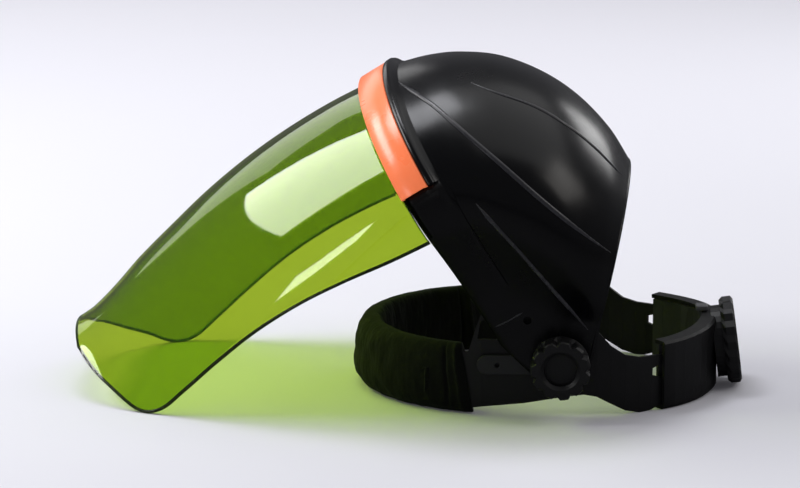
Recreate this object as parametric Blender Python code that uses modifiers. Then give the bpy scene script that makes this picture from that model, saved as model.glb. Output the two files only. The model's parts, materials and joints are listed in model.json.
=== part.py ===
"""A safety face shield with its visor tilted up: headgear, hood, green visor and knobs.

Metres, +Z up, X across the head, the face looking along -Y. Every piece is modelled round the tilt
axis, and the whole is then set down on the floor.
"""

import bmesh
import bpy
from math import asin, cos, pi, radians, sin, sqrt
from mathutils import Matrix, Vector

# Fits
GAP = 0.0003
TURN_GAP = 0.0006

# Tilt axis, with what is stacked along it from the head outwards
PIVOT_HEIGHT = 0.0309
BAND_HALF_BREADTH = 0.0745
BAND_WALL = 0.0020
TAB_WALL = 0.0020
ARM_WALL = 0.0022
BOLT_RADIUS = 0.0040
BOLT_HEAD_RADIUS = 0.0085
BOLT_HEAD_DEPTH = 0.0024
KNOB_RADIUS = 0.0165
KNOB_DEPTH = 0.0180
KNOB_LOBES = 11
KNOB_LOBE_DEPTH = 0.0022
LUG_RADIUS = 0.0160
ARM_TOP = 0.0195
ARM_EYE = (-0.0181, 0.0243)
ARM_EYE_RADIUS = 0.0022
TAB_TIP = (-0.0410, -0.0022)
TAB_HALF_WIDTH = 0.0054
TAB_RING_RADIUS = 0.0125
TAB_EYE = (-0.0351, -0.0024)
TAB_EYE_RADIUS = 0.0014

# Headband, in plan two half ellipses joined by straight sides
BAND_FRONT_Y = -0.035
BAND_REAR_Y = 0.010
BAND_FRONT_REACH = 0.078
BAND_REAR_REACH = 0.076
STRIP_HEIGHT = 0.0310
BAND_MARK = (0.0310, -0.0050)
BAND_MARK_RADIUS = 0.0012

# Sweatband
PAD_HEIGHT = 0.0400
PAD_INNER = 0.0055
PAD_OUTER = 0.0032
PAD_REAR_Y = -0.052
PAD_FLARE = 0.0050
PAD_END_LIFT = 0.0025

# Rear housing and its knob
COVER_HEIGHT = 0.0390
COVER_WALL = 0.0022
COVER_DEPTH = 0.0090
COVER_START_Y = 0.056
COVER_LIFT = 0.0040
LINER_WALL = 0.0020
BOSS_RADIUS = 0.0205
BOSS_DEPTH = 0.0050
BOSS_DROP = 0.0060
BOSS_TILT = radians(7.7)
REAR_KNOB_RADIUS = 0.0250
REAR_KNOB_DEPTH = 0.0060
REAR_KNOB_RIBS = 18
REAR_KNOB_RIB_DEPTH = 0.0011
SPINDLE_RADIUS = 0.0045
CLIP_SIZE = 0.0085

# Shield: the rim plane leans forward from this point, and the visor runs along its normal
RIM_LEAN = radians(31.1)
RIM_Y = -0.0266
REAR_LEAN = radians(13.2)
HOOD_HALF_WIDTH = 0.1030
HOOD_HEIGHT = 0.1653
ARM_FOOT = 0.0120
SEAT_WIDTH = 0.0160
FLANGE_WIDTH = 0.0045
FLANGE_PROUD = 0.0044
RIB_WIDTH = 0.0030
RIB_PROUD = 0.0009

# Visor and its clip
VISOR_WALL = 0.0025
VISOR_HEIGHT = 0.1640
VISOR_LENGTH = 0.2125
TRIM_WALL = 0.0016
TRIM_PROUD = 0.0047

# How finely the curved pieces are divided
HOOD_FANS = 10
FLANK_STEPS = 5
ARCH_STEPS = 10
VISOR_ARCH_STEPS = 12
BAND_STEPS = 11
ROUND_STEPS = 24
TRIM_STEPS = 22
RIB_STEPS = 12

TAB_INNER_X = BAND_HALF_BREADTH + 2 * GAP
RIM_LEVEL = VISOR_HEIGHT * 0.610
TRIM_END = VISOR_HEIGHT * 0.683
ARM_INNER_X = TAB_INNER_X + TAB_WALL + TURN_GAP
ARM_OUTER_X = ARM_INNER_X + ARM_WALL
KNOB_BASE_X = ARM_OUTER_X + TURN_GAP


# Scene, materials and small mesh tools


def start_scene():
    for thing in list(bpy.data.objects):
        bpy.data.objects.remove(thing, do_unlink=True)
    parts = bpy.data.collections.new("laser_safety_face_shield")
    cutters = bpy.data.collections.new("cutters")
    bpy.context.scene.collection.children.link(parts)
    bpy.context.scene.collection.children.link(cutters)
    return parts, cutters


def material(name, colour, roughness, metallic=0.0, clear=0.0):
    made = bpy.data.materials.new(name)
    made.use_nodes = True
    shader = made.node_tree.nodes["Principled BSDF"]
    shader.inputs["Base Color"].default_value = (*colour, 1.0)
    shader.inputs["Roughness"].default_value = roughness
    shader.inputs["Metallic"].default_value = metallic
    shader.inputs["Transmission Weight"].default_value = clear
    return made


def empty(name, parent, place=(0.0, 0.0, 0.0), tilt=0.0):
    made = bpy.data.objects.new(name, None)
    PARTS.objects.link(made)
    made.parent = parent
    made.location = place
    made.rotation_euler = (tilt, 0.0, 0.0)
    return made


def mesh_object(name, mesh, parent, finish):
    made = bpy.data.objects.new(name, mesh)
    made.parent = parent
    if finish is None:
        CUTTERS.objects.link(made)
        made.hide_render = True
        made.display_type = "WIRE"
    else:
        PARTS.objects.link(made)
        made.data.materials.append(finish)
        made.data.shade_smooth()
        made.data.set_sharp_from_angle(angle=radians(35))
    return made


def finished(name, bm, parent, finish):
    """The built mesh as an object, its faces turned outwards."""
    bmesh.ops.recalc_face_normals(bm, faces=bm.faces)
    mesh = bpy.data.meshes.new(name)
    bm.to_mesh(mesh)
    bm.free()
    return mesh_object(name, mesh, parent, finish)


def swept(name, loops, parent, finish):
    """A solid skinned over loops of equal count and capped at both ends."""
    bm = bmesh.new()
    rings = [[bm.verts.new(point) for point in loop] for loop in loops]
    for here, there in zip(rings, rings[1:]):
        for k in range(len(here)):
            n = (k + 1) % len(here)
            bm.faces.new((here[k], here[n], there[n], there[k]))
    bm.faces.new(rings[0])
    bm.faces.new(rings[-1])
    return finished(name, bm, parent, finish)


def turned(name, profile, parent, finish, steps=ROUND_STEPS, radius_at=None):
    """A solid turned about X from (place along X, radius) pairs that start and end on the axis.

    radius_at may change a radius with the angle, for lobes and ribs.
    """
    bm = bmesh.new()
    rings = []
    for along, radius in profile[1:-1]:
        ring = []
        for k in range(steps):
            angle = 2 * pi * k / steps
            r = radius_at(radius, angle, along) if radius_at else radius
            ring.append(bm.verts.new((along, r * cos(angle), r * sin(angle))))
        rings.append(ring)
    for here, there in zip(rings, rings[1:]):
        for k in range(steps):
            n = (k + 1) % steps
            bm.faces.new((here[k], here[n], there[n], there[k]))
    for ring, end in ((rings[0], profile[0]), (rings[-1], profile[-1])):
        tip = bm.verts.new((end[0], 0.0, 0.0))
        for k in range(steps):
            bm.faces.new((ring[k], ring[(k + 1) % steps], tip))
    return finished(name, bm, parent, finish)


def cylinder(name, radius, start, end, centre, parent, finish, steps=ROUND_STEPS):
    """A round bar along X, from start to end, about the point centre = (y, z)."""
    bm = bmesh.new()
    turn = Matrix.Translation(((start + end) / 2, *centre)) @ Matrix.Rotation(pi / 2, 4, "Y")
    bmesh.ops.create_cone(
        bm, cap_ends=True, segments=steps, radius1=radius, radius2=radius,
        depth=abs(end - start), matrix=turn,
    )
    return finished(name, bm, parent, finish)


def box(name, low, high, parent, finish):
    bm = bmesh.new()
    centre = (Vector(low) + Vector(high)) / 2
    size = Vector(high) - Vector(low)
    spread = Matrix.Translation(centre) @ Matrix.Diagonal((*size, 1.0))
    bmesh.ops.create_cube(bm, size=1.0, matrix=spread)
    return finished(name, bm, parent, finish)


def boolean(target, other, operation="DIFFERENCE"):
    step = target.modifiers.new(other.name, "BOOLEAN")
    step.operation = operation
    step.solver = "EXACT"
    step.object = other


def bevel(target, width, segments=1):
    step = target.modifiers.new("rounded edges", "BEVEL")
    step.width = width
    step.segments = segments
    step.limit_method = "ANGLE"
    step.angle_limit = radians(50)


def plate(name, outline, x_low, x_high, parent, finish):
    """A flat plate across X from an outline of (y, z) points."""
    return swept(name, [[Vector((x, y, z)) for y, z in outline] for x in (x_low, x_high)],
                 parent, finish)


def arc(centre, radius, start, end, steps):
    """Points round a circle in (y, z), from one angle to the other."""
    return [
        (centre[0] + radius * cos(a), centre[1] + radius * sin(a))
        for a in (start + (end - start) * k / steps for k in range(steps + 1))
    ]


def read_table(rows, column, at):
    """A column of a table of rows, read at a share of its first column, smoothly."""
    keys = [row[0] for row in rows]
    values = [row[column] for row in rows]
    k = max(i for i in range(len(keys) - 1) if at >= keys[i] or i == 0)
    span = keys[k + 1] - keys[k]
    t = min(max((at - keys[k]) / span, 0.0), 1.0)

    def slope(i):
        low, high = max(i - 1, 0), min(i + 1, len(keys) - 1)
        return (values[high] - values[low]) / (keys[high] - keys[low]) * span

    t2, t3 = t * t, t * t * t
    return (
        (2 * t3 - 3 * t2 + 1) * values[k] + (t3 - 2 * t2 + t) * slope(k)
        + (3 * t2 - 2 * t3) * values[k + 1] + (t3 - t2) * slope(k + 1)
    )


# Headgear: everything that follows the plan line of the headband


def plan_point(turn, offset=0.0):
    """A point of the band's plan line and its outward normal, both in (x, y).

    turn runs from 0 at the front centre to 1 at the rear centre: a third for the front curve, a
    short straight side, and the rear curve.
    """
    front_share, rear_share = 0.42, 0.54
    if turn <= front_share:
        angle = turn / front_share * pi / 2
        half, reach, mid, way = BAND_HALF_BREADTH, BAND_FRONT_REACH, BAND_FRONT_Y, -1
    elif turn < rear_share:
        along = (turn - front_share) / (rear_share - front_share)
        y = BAND_FRONT_Y + (BAND_REAR_Y - BAND_FRONT_Y) * along
        return Vector((BAND_HALF_BREADTH + offset, y)), Vector((1.0, 0.0))
    else:
        angle = (1 - turn) / (1 - rear_share) * pi / 2
        half, reach, mid, way = BAND_HALF_BREADTH, BAND_REAR_REACH, BAND_REAR_Y, 1
    point = Vector((half * sin(angle), mid + way * reach * cos(angle)))
    normal = Vector((sin(angle) / half, way * cos(angle) / reach)).normalized()
    return point + normal * offset, normal


def turn_at(y):
    """The turn along the plan line where it passes this y."""
    low, high = 0.0, 1.0
    for _ in range(30):
        middle = (low + high) / 2
        if plan_point(middle)[0].y < y:
            low = middle
        else:
            high = middle
    return low


def both_sides(turns):
    """Signed turns from the left rear, round the front, to the right rear."""
    return [-t for t in reversed(turns)] + [t for t in turns if t > 0]


def wrapped(turn, offset, z):
    """The world point at a signed turn, an offset out from the plan line and a height."""
    point, _ = plan_point(abs(turn), offset)
    return Vector((point.x if turn >= 0 else -point.x, point.y, z))


# Side view of the band: y as a share of BAND_FRONT_REACH, then the lower and upper edge up from the
# floor as shares of STRIP_HEIGHT
BAND_EDGES = (
    (-1.4744, 0.16, 1.06),
    (-0.8974, 0.13, 1.10),
    (-0.7051, 0.12, 1.13),
    (-0.6538, 0.11, 1.16),
    (-0.6154, 0.11, 1.48),
    (-0.5641, 0.13, 1.86),
    (-0.2564, 0.21, 1.90),
    (0.0385, 0.34, 1.90),
    (0.1667, 0.38, 1.78),
    (0.2564, 0.34, 1.55),
    (0.3590, 0.20, 1.26),
    (0.4615, 0.06, 1.08),
    (0.5641, 0.00, 1.02),
    (0.6410, 0.02, 1.02),
    (0.6987, 0.07, 1.02),
    (1.1026, 0.10, 1.02),
)

# The window in each side plate, as shares of STRIP_HEIGHT about the tilt axis: y, z
SIDE_WINDOW = ((-1.435, 0.694), (-1.274, 0.790), (-0.960, 0.410), (-1.040, 0.370), (-1.490, 0.370))


def band_edge(column, y):
    """Height of the band's lower (1) or upper (2) edge where it passes this y."""
    return read_table(BAND_EDGES, column, y / BAND_FRONT_REACH) * STRIP_HEIGHT - PIVOT_HEIGHT


def brow_turns():
    """Turns from the front centre to the pad's rear end, shared by the pad and its strip."""
    end = turn_at(PAD_REAR_Y)
    return [end * k / BAND_STEPS for k in range(BAND_STEPS + 1)]


def build_headband():
    """The band from rear end to rear end, with its holes cut through."""
    ys = [row[0] * BAND_FRONT_REACH for row in BAND_EDGES[:-1]]
    ys = [y for y in ys if y > PAD_REAR_Y]
    front = brow_turns()
    rear_end = turn_at(BAND_REAR_Y + BAND_REAR_REACH * 0.985)
    rear = [turn_at(ys[-1]) + (rear_end - turn_at(ys[-1])) * k / 6 for k in range(1, 7)]
    enters = turn_at(COVER_START_Y - 0.002)
    loops = []
    for turn in both_sides(front + [turn_at(y) for y in ys] + rear):
        y = plan_point(abs(turn))[0].y
        low, high = band_edge(1, y), band_edge(2, y)
        if abs(turn) >= enters:
            low = max(low, COVER_WALL + GAP - PIVOT_HEIGHT)
            high = min(high, cover_height(turn) - COVER_WALL - GAP)
        loops.append([
            wrapped(turn, 0.0, low), wrapped(turn, 0.0, high),
            wrapped(turn, -BAND_WALL, high), wrapped(turn, -BAND_WALL, low),
        ])
    band = swept("headband", loops, HEADGEAR, PLASTIC)
    reach = BAND_HALF_BREADTH + BAND_WALL
    window = [(y * STRIP_HEIGHT, z * STRIP_HEIGHT) for y, z in SIDE_WINDOW]
    for side, name in ((1, "left"), (-1, "right")):
        cutters = (
            plate(f"window_{name}", window, side * reach * 0.8, side * reach, HEADGEAR, None),
            cylinder(f"bolt_hole_{name}", BOLT_RADIUS + GAP, side * reach * 0.9, side * reach,
                     (0.0, 0.0), HEADGEAR, None),
            cylinder(f"band_mark_{name}", BAND_MARK_RADIUS, side * reach * 0.953,
                     side * reach, BAND_MARK, HEADGEAR, None, 8),
            rack_slot(f"rack_slot_{name}", side),
        )
        for cutter in cutters:
            boolean(band, cutter)
    return band


def rack_slot(name, side):
    """The long slot in the band's end, wrapped along the band, with its front end showing."""
    start, end = turn_at(COVER_START_Y - 0.005), turn_at(BAND_REAR_Y + BAND_REAR_REACH * 0.90)
    half = STRIP_HEIGHT * 0.12
    level = STRIP_HEIGHT * 0.72 - PIVOT_HEIGHT
    loops = []
    for k in range(8):
        turn = side * (start + (end - start) * k / 7)
        tall = half * (0.55 if k == 0 else 1.0)
        loops.append([
            wrapped(turn, BAND_WALL, level - tall), wrapped(turn, BAND_WALL, level + tall),
            wrapped(turn, -2 * BAND_WALL, level + tall), wrapped(turn, -2 * BAND_WALL, level - tall),
        ])
    return swept(name, loops, HEADGEAR, None)


# The folded pad's section: place across (-1 inner face to 1 outer face), share of its height
PAD_SECTION = (
    (-1.0, 0.10), (-1.0, 0.88), (-0.55, 1.0), (0.55, 1.0), (1.0, 0.88), (1.0, 0.50), (1.0, 0.10),
    (0.6, 0.0), (-0.6, 0.0),
)


def build_sweatband():
    """A sleeve round the brow strip: an outer skin, and a slot through it for the strip."""
    end = turn_at(PAD_REAR_Y)
    turns = both_sides(brow_turns())
    bm = bmesh.new()
    rings = []
    for turn in turns:
        y = plan_point(abs(turn))[0].y
        lean = PAD_FLARE * max(0.0, (PAD_REAR_Y - y) / (BAND_FRONT_REACH * 0.8)) ** 1.5
        rise = PAD_END_LIFT * (abs(turn) / end) ** 12
        outer = []
        for across, up in PAD_SECTION:
            mid = (PAD_OUTER - BAND_WALL - PAD_INNER) / 2
            half = (PAD_OUTER + BAND_WALL + PAD_INNER) / 2
            drop = lean * max(0.0, 0.6 - up) / 0.6 if across > 0 else 0.0
            z = up * PAD_HEIGHT - PIVOT_HEIGHT + rise * up
            outer.append(bm.verts.new(wrapped(turn, mid + across * half + drop, z)))
        low, high = band_edge(1, y) - GAP, band_edge(2, y) + GAP
        slot_out, slot_in = GAP, -BAND_WALL - GAP
        middle = (low + high) / 2
        slot_points = (
            (slot_in, low), (slot_in, high), (slot_in * 0.6, high), (slot_out * 0.6, high),
            (slot_out, high), (slot_out, middle), (slot_out, low), (slot_out * 0.6, low),
            (slot_in * 0.6, low),
        )
        inner = [bm.verts.new(wrapped(turn, across, z)) for across, z in slot_points]
        rings.append((outer, inner))
    count = len(PAD_SECTION)
    for (outer_a, inner_a), (outer_b, inner_b) in zip(rings, rings[1:]):
        for here, there in ((outer_a, outer_b), (inner_b, inner_a)):
            for k in range(count):
                n = (k + 1) % count
                bm.faces.new((here[k], here[n], there[n], there[k]))
    for outer, inner in (rings[0], rings[-1]):
        for k in range(count):
            n = (k + 1) % count
            bm.faces.new((outer[k], outer[n], inner[n], inner[k]))
    return finished("sweatband", bm, HEADGEAR, FABRIC)


def cover_height(turn):
    """Top of the housing: it rises a little towards the rear centre."""
    start = turn_at(COVER_START_Y)
    share = max(0.0, (abs(turn) - start) / (1 - start))
    return COVER_HEIGHT - PIVOT_HEIGHT + COVER_LIFT * share ** 1.5


def cover_turns(steps, inset=0.0):
    start = turn_at(COVER_START_Y) + inset
    return [start + (2 - 2 * start) * k / steps for k in range(steps + 1)]


def signed(turn):
    """A turn past the rear centre goes on along the other side."""
    return turn if turn <= 1 else turn - 2


def build_rear_cover():
    """A channel open to the head, with the knob's boss joined on."""
    outer, wall = 2 * GAP + COVER_WALL, COVER_WALL
    inner = outer - COVER_DEPTH
    floor = -PIVOT_HEIGHT
    loops = []
    for turn in cover_turns(18):
        top = cover_height(signed(turn))
        section = (
            (outer, floor + wall), (outer, top - wall * 0.6), (outer - wall * 0.6, top),
            (inner, top), (inner, top - wall), (outer - wall, top - wall),
            (outer - wall, floor + wall), (inner, floor + wall), (inner, floor), (outer - wall, floor),
        )
        loops.append([wrapped(signed(turn), across, z) for across, z in section])
    cover = swept("rear_cover", loops, HEADGEAR, PLASTIC)
    boss_axis = empty("boss_axis", HEADGEAR, boss_centre(), BOSS_TILT)
    sunk = COVER_WALL * 0.8
    boss = turned("boss", [
        (-sunk, 0.0), (-sunk, BOSS_RADIUS), (BOSS_DEPTH - 0.001, BOSS_RADIUS),
        (BOSS_DEPTH, BOSS_RADIUS - 0.001), (BOSS_DEPTH, 0.0),
    ], boss_axis, None, 32)
    boss.rotation_euler = (0.0, 0.0, pi / 2)
    boolean(cover, boss, "UNION")
    bore = cylinder("spindle_bore", SPINDLE_RADIUS + TURN_GAP, BOSS_DEPTH * 0.25, BOSS_DEPTH * 2,
                    (0.0, 0.0), boss_axis, None)
    bore.rotation_euler = (0.0, 0.0, pi / 2)
    boolean(cover, bore)
    return cover


def boss_centre():
    """Where the boss's axis leaves the housing's outer face."""
    return (0.0, BAND_REAR_Y + BAND_REAR_REACH + COVER_WALL + 2 * GAP, -BOSS_DROP)


def build_rear_liner():
    """The housing's inner wall, between its upper and lower lips."""
    inner = 2 * GAP + COVER_WALL - COVER_DEPTH
    loops = []
    for turn in cover_turns(16, 0.004):
        top = cover_height(signed(turn)) - COVER_WALL - GAP
        low = -PIVOT_HEIGHT + COVER_WALL + GAP
        loops.append([wrapped(signed(turn), across, z) for across, z in (
            (inner + LINER_WALL, low), (inner + LINER_WALL, top), (inner, top), (inner, low))])
    return swept("rear_liner", loops, HEADGEAR, LINER)


def build_rear_clip():
    """A small block on the housing's top, just ahead of the boss."""
    top = cover_height(1.0) + GAP
    rear = boss_centre()[1] - COVER_WALL - (BOSS_RADIUS + BOSS_DROP) * sin(BOSS_TILT)
    clip = box("rear_clip", (-CLIP_SIZE / 2, rear - CLIP_SIZE * 0.8, top),
               (CLIP_SIZE / 2, rear, top + CLIP_SIZE * 0.35), HEADGEAR, LINER)
    bevel(clip, 0.0006)
    return clip


def build_rear_knob():
    """A ribbed disc on a spindle, its rim cupped over the boss, turned about the boss's axis."""
    axis = empty("rear_knob_axis", HEADGEAR, boss_centre(), BOSS_TILT)
    base, face = BOSS_DEPTH + TURN_GAP, BOSS_DEPTH + TURN_GAP + REAR_KNOB_DEPTH
    rim, cup = REAR_KNOB_RADIUS, BOSS_RADIUS + TURN_GAP

    def ribbed(radius, angle, along):
        wave = 0.5 + 0.5 * cos(REAR_KNOB_RIBS * angle)
        return radius - REAR_KNOB_RIB_DEPTH * wave if radius > rim * 0.95 else radius

    profile = [
        (BOSS_DEPTH * 0.35, 0.0), (BOSS_DEPTH * 0.35, SPINDLE_RADIUS), (base, SPINDLE_RADIUS),
        (base, cup), (base - BOSS_DEPTH * 0.4, cup), (base - BOSS_DEPTH * 0.4, rim * 0.93),
        (base, rim), (face - REAR_KNOB_DEPTH * 0.2, rim), (face, rim * 0.92),
        (face, rim * 0.74), (face - 0.0016, rim * 0.70), (face - 0.0016, rim * 0.34),
        (face, rim * 0.30), (face, 0.0),
    ]
    knob = turned("rear_knob", profile, axis, KNOB_PLASTIC, REAR_KNOB_RIBS * 2, ribbed)
    knob.rotation_euler = (0.0, 0.0, pi / 2)
    return knob


# Tilt joint on each side


def build_tilt_tab(side, name):
    """A flat tongue with a round end, widening to a ring about the bolt."""
    outline = arc(TAB_TIP, TAB_HALF_WIDTH, pi / 2, 3 * pi / 2, 8)
    outline += arc((0.0, 0.0), TAB_RING_RADIUS, pi + 0.62, 3 * pi - 0.28, 18)
    low, high = side * TAB_INNER_X, side * (TAB_INNER_X + TAB_WALL)
    tab = plate(f"tilt_tab_{name}", outline, low, high, HEADGEAR, TAB_PLASTIC)
    reach = side * TAB_WALL
    boolean(tab, cylinder(f"tab_hole_{name}", BOLT_RADIUS + GAP, low - reach, high + reach,
                          (0.0, 0.0), HEADGEAR, None))
    boolean(tab, cylinder(f"tab_eye_{name}", TAB_EYE_RADIUS, low - reach, high + reach,
                          TAB_EYE, HEADGEAR, None, 10))
    return tab


def build_bolt(side, name):
    """The bolt's head lies inside the band, and its shank runs out into the knob."""
    head = BAND_HALF_BREADTH - BAND_WALL - TURN_GAP
    shank_end = KNOB_BASE_X + KNOB_DEPTH * 0.45
    bolt = turned(f"pivot_bolt_{name}", [
        (head - BOLT_HEAD_DEPTH, 0.0), (head - BOLT_HEAD_DEPTH, BOLT_HEAD_RADIUS),
        (head, BOLT_HEAD_RADIUS), (head, BOLT_RADIUS), (shank_end, BOLT_RADIUS), (shank_end, 0.0),
    ], HEADGEAR, STEEL, 20)
    bolt.rotation_euler = (0.0, 0.0, 0.0 if side > 0 else pi)
    return bolt


def build_tilt_knob(side, name):
    """A lobed grip on a round flange, with a cone and a round recess in its face."""
    axis = empty(f"tilt_knob_axis_{name}", HEADGEAR)
    base, face = KNOB_BASE_X, KNOB_BASE_X + KNOB_DEPTH
    rim = KNOB_RADIUS

    def lobed(radius, angle, along):
        if radius < rim * 0.86 or along < base + KNOB_DEPTH * 0.2:
            return radius
        dip = max(0.0, cos(KNOB_LOBES * angle)) ** 0.8
        return radius - KNOB_LOBE_DEPTH * dip

    bore = BOLT_RADIUS + TURN_GAP
    bottom = KNOB_BASE_X + KNOB_DEPTH * 0.45 + TURN_GAP
    profile = [
        (bottom, 0.0), (bottom, bore), (base, bore), (base, rim * 0.94),
        (base + KNOB_DEPTH * 0.14, rim * 0.98), (base + KNOB_DEPTH * 0.30, rim * 0.90),
        (base + KNOB_DEPTH * 0.46, rim), (face - KNOB_DEPTH * 0.06, rim),
        (face, rim * 0.95), (face, rim * 0.66), (face - KNOB_DEPTH * 0.10, rim * 0.54),
        (face - KNOB_DEPTH * 0.30, rim * 0.52), (face - KNOB_DEPTH * 0.30, 0.0),
    ]
    knob = turned(f"tilt_knob_{name}", profile, axis, KNOB_PLASTIC, KNOB_LOBES * 4, lobed)
    knob.rotation_euler = (0.0, 0.0, 0.0 if side > 0 else pi)
    return knob


# Shield: rows are straight lines in side view, given by a foot and a crest


def rim_point(along, height):
    """(y, z) of a point in the visor's own directions: along its run, and up the rim plane."""
    return (
        RIM_Y - along * cos(RIM_LEAN) - height * sin(RIM_LEAN),
        -along * sin(RIM_LEAN) + height * cos(RIM_LEAN),
    )


# Outline of the hood's top behind the flange, as shares of HOOD_HEIGHT: y, z and half width,
# widest level and foot place by share of the way back
HOOD_CREST = (
    (0.00, -0.563, 0.924, 1.000, 0.665, 0.00),
    (0.13, -0.459, 0.951, 1.005, 0.635, 0.18),
    (0.26, -0.356, 0.962, 1.005, 0.605, 0.36),
    (0.42, -0.215, 0.950, 0.990, 0.570, 0.54),
    (0.59, -0.066, 0.894, 0.960, 0.535, 0.70),
    (0.75, 0.060, 0.810, 0.915, 0.500, 0.84),
    (0.89, 0.168, 0.696, 0.860, 0.470, 0.94),
    (1.00, 0.240, 0.580, 0.810, 0.450, 1.00),
)

# Raised lines of the hood, as waypoints on its surface: share of the way back, share of the way up
# the arch from foot to crest
HOOD_RIBS = {
    "long_rib": ((0.030, 0.985), (0.135, 0.800), (0.400, 0.660), (0.700, 0.560), (0.985, 0.480)),
    "upper_rib": ((0.400, 0.900), (0.600, 0.850), (0.780, 0.810), (0.980, 0.840)),
    "arm_rib": ((0.200, 0.520), (0.330, 0.400), (0.560, 0.250)),
}


def lug_point(share):
    """(y, z) round the arm's lower end, from straight below the pivot in the rim's direction
    (0) to where the rear edge leaves it (1)."""
    start = -pi / 2 + RIM_LEAN
    end = -REAR_LEAN
    angle = start + (end - start) * share
    return LUG_RADIUS * cos(angle), LUG_RADIUS * sin(angle)


def hood_row(share):
    """Foot, crest, half width and widest level of a hood row behind the flange."""
    y, z, width, level, foot = (read_table(HOOD_CREST, k, share) for k in range(1, 6))
    return lug_point(foot), (y * HOOD_HEIGHT, z * HOOD_HEIGHT), width * HOOD_HALF_WIDTH, level


def rim_row(along, sunk):
    """A row of the front seat, at a distance behind the rim plane."""
    pivot_along = RIM_Y * cos(RIM_LEAN)
    pivot_height = RIM_Y * sin(RIM_LEAN)
    behind = along - pivot_along
    round_part = LUG_RADIUS * 0.75
    if abs(behind) < round_part:
        foot = pivot_height - sqrt(LUG_RADIUS ** 2 - behind ** 2)
    else:
        edge = pivot_height - sqrt(LUG_RADIUS ** 2 - round_part ** 2)
        start = pivot_along + round_part
        foot = edge + (ARM_FOOT - edge) * ((along - start) / -start) ** 1.3
    crest = rim_point(along, VISOR_HEIGHT - sunk)
    span = VISOR_HEIGHT - sunk - foot
    return rim_point(along, foot), crest, HOOD_HALF_WIDTH - sunk, (RIM_LEVEL - foot) / span


# Where a row's ellipse starts, as shares of its rise: at most this far below its widest level, and
# at least this far above the arm's flat face
LOWEST_START = -0.30
FLANK_SHARE = 0.12


def arch(foot, crest, half_width, level, foot_x):
    """Half of a hood row: a flank from the arm's flat face, then a quarter ellipse to the top."""
    foot, crest = Vector(foot), Vector(crest)
    length = (crest - foot).length
    up = (crest - foot) / length
    flat_end = PIVOT_HEIGHT * 0.68
    flat = max(0.0, (flat_end - foot.y) / up.y)
    rise = length * (1 - level)
    lowest = (flat + rise * FLANK_SHARE - length * level) / rise
    turns_from = asin(max(LOWEST_START, lowest))
    join_x = half_width * cos(turns_from)
    join_h = length * level + rise * sin(turns_from)
    join_slope = half_width * sin(-turns_from) / (rise * cos(turns_from))
    points = []
    for k in range(3):
        points.append((foot_x, flat * k / 3))
    for k in range(FLANK_STEPS):
        t = k / FLANK_STEPS
        span = join_h - flat
        bend = (3 * t * t - 2 * t ** 3) * (join_x - foot_x) + (t ** 3 - t * t) * join_slope * span
        points.append((foot_x + bend, flat + span * t))
    for k in range(ARCH_STEPS + 1):
        a = turns_from + (pi / 2 - turns_from) * k / ARCH_STEPS
        x = half_width * cos(a) if k < ARCH_STEPS else 0.0
        points.append((x, length * level + rise * sin(a)))
    if flat <= 0:
        for k in range(3):
            points[k] = (foot_x, points[3][1] - 1e-4 * (3 - k))
    return [Vector((x, foot.x + up.x * h, foot.y + up.y * h)) for x, h in points]


# Places of the front seat's rows, as shares of its width, and how far it lies below the hood's face
SEAT_ROWS = (0.0, 0.33, 0.67, 1.0)
SEAT_SINK = VISOR_WALL + 2 * GAP
FIRST_HOOD_ROW = len(SEAT_ROWS)


def hood_grid():
    """The hood's outer surface, one half: front seat rows, then rows fanned to the rear edge."""
    grid = [arch(*rim_row(-SEAT_WIDTH * share, SEAT_SINK), ARM_OUTER_X) for share in SEAT_ROWS]
    grid += [arch(*hood_row(k / HOOD_FANS), ARM_OUTER_X) for k in range(HOOD_FANS + 1)]
    return grid


def on_grid(grid, row, column):
    """A point on the facets of a grid, at fractional places."""
    i, j = min(int(row), len(grid) - 2), min(int(column), len(grid[0]) - 2)
    u, v = row - i, column - j
    low = grid[i][j].lerp(grid[i][j + 1], v)
    high = grid[i + 1][j].lerp(grid[i + 1][j + 1], v)
    return low.lerp(high, u)


def normal_at(grid, row, column):
    """The outward normal of a grid near a fractional place."""
    step = 0.4
    along = on_grid(grid, min(row + step, len(grid) - 1), column)
    along -= on_grid(grid, max(row - step, 0), column)
    up = on_grid(grid, row, min(column + step, len(grid[0]) - 1))
    up -= on_grid(grid, row, max(column - step, 0))
    return up.cross(along).normalized()


def ridges(name, grid, line):
    """A raised line on both sides of the hood, swept along waypoints on its surface."""
    first_row, last_row = FIRST_HOOD_ROW, len(grid) - 1
    top = len(grid[0]) - 1
    start = top - ARCH_STEPS - FLANK_STEPS
    table = [(k, back, up) for k, (back, up) in enumerate(line)]
    spots = []
    for k in range(RIB_STEPS + 1):
        at = (len(line) - 1) * k / RIB_STEPS
        row = first_row + (last_row - first_row) * read_table(table, 1, at)
        column = start + (top - start) * read_table(table, 2, at)
        spots.append((on_grid(grid, row, column), normal_at(grid, row, column)))
    loops = []
    for k, (spot, out) in enumerate(spots):
        ahead = spots[min(k + 1, RIB_STEPS)][0] - spots[max(k - 1, 0)][0]
        across = ahead.cross(out).normalized()
        fade = min(1.0, 0.3 + 4 * min(k, RIB_STEPS - k) / RIB_STEPS)
        half, tall, sunk = RIB_WIDTH / 2 * fade, RIB_PROUD * fade, ARM_WALL * 0.4
        corners = ((-half, -sunk), (-half, 0.0), (0.0, tall), (half, 0.0), (half, -sunk))
        loops.append([spot + across * a + out * b for a, b in corners])
    return [
        swept(f"{name}_{side}", [[Vector((way * p.x, p.y, p.z)) for p in loop] for loop in loops],
              SHIELD, None)
        for way, side in ((1, "left"), (-1, "right"))
    ]


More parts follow.
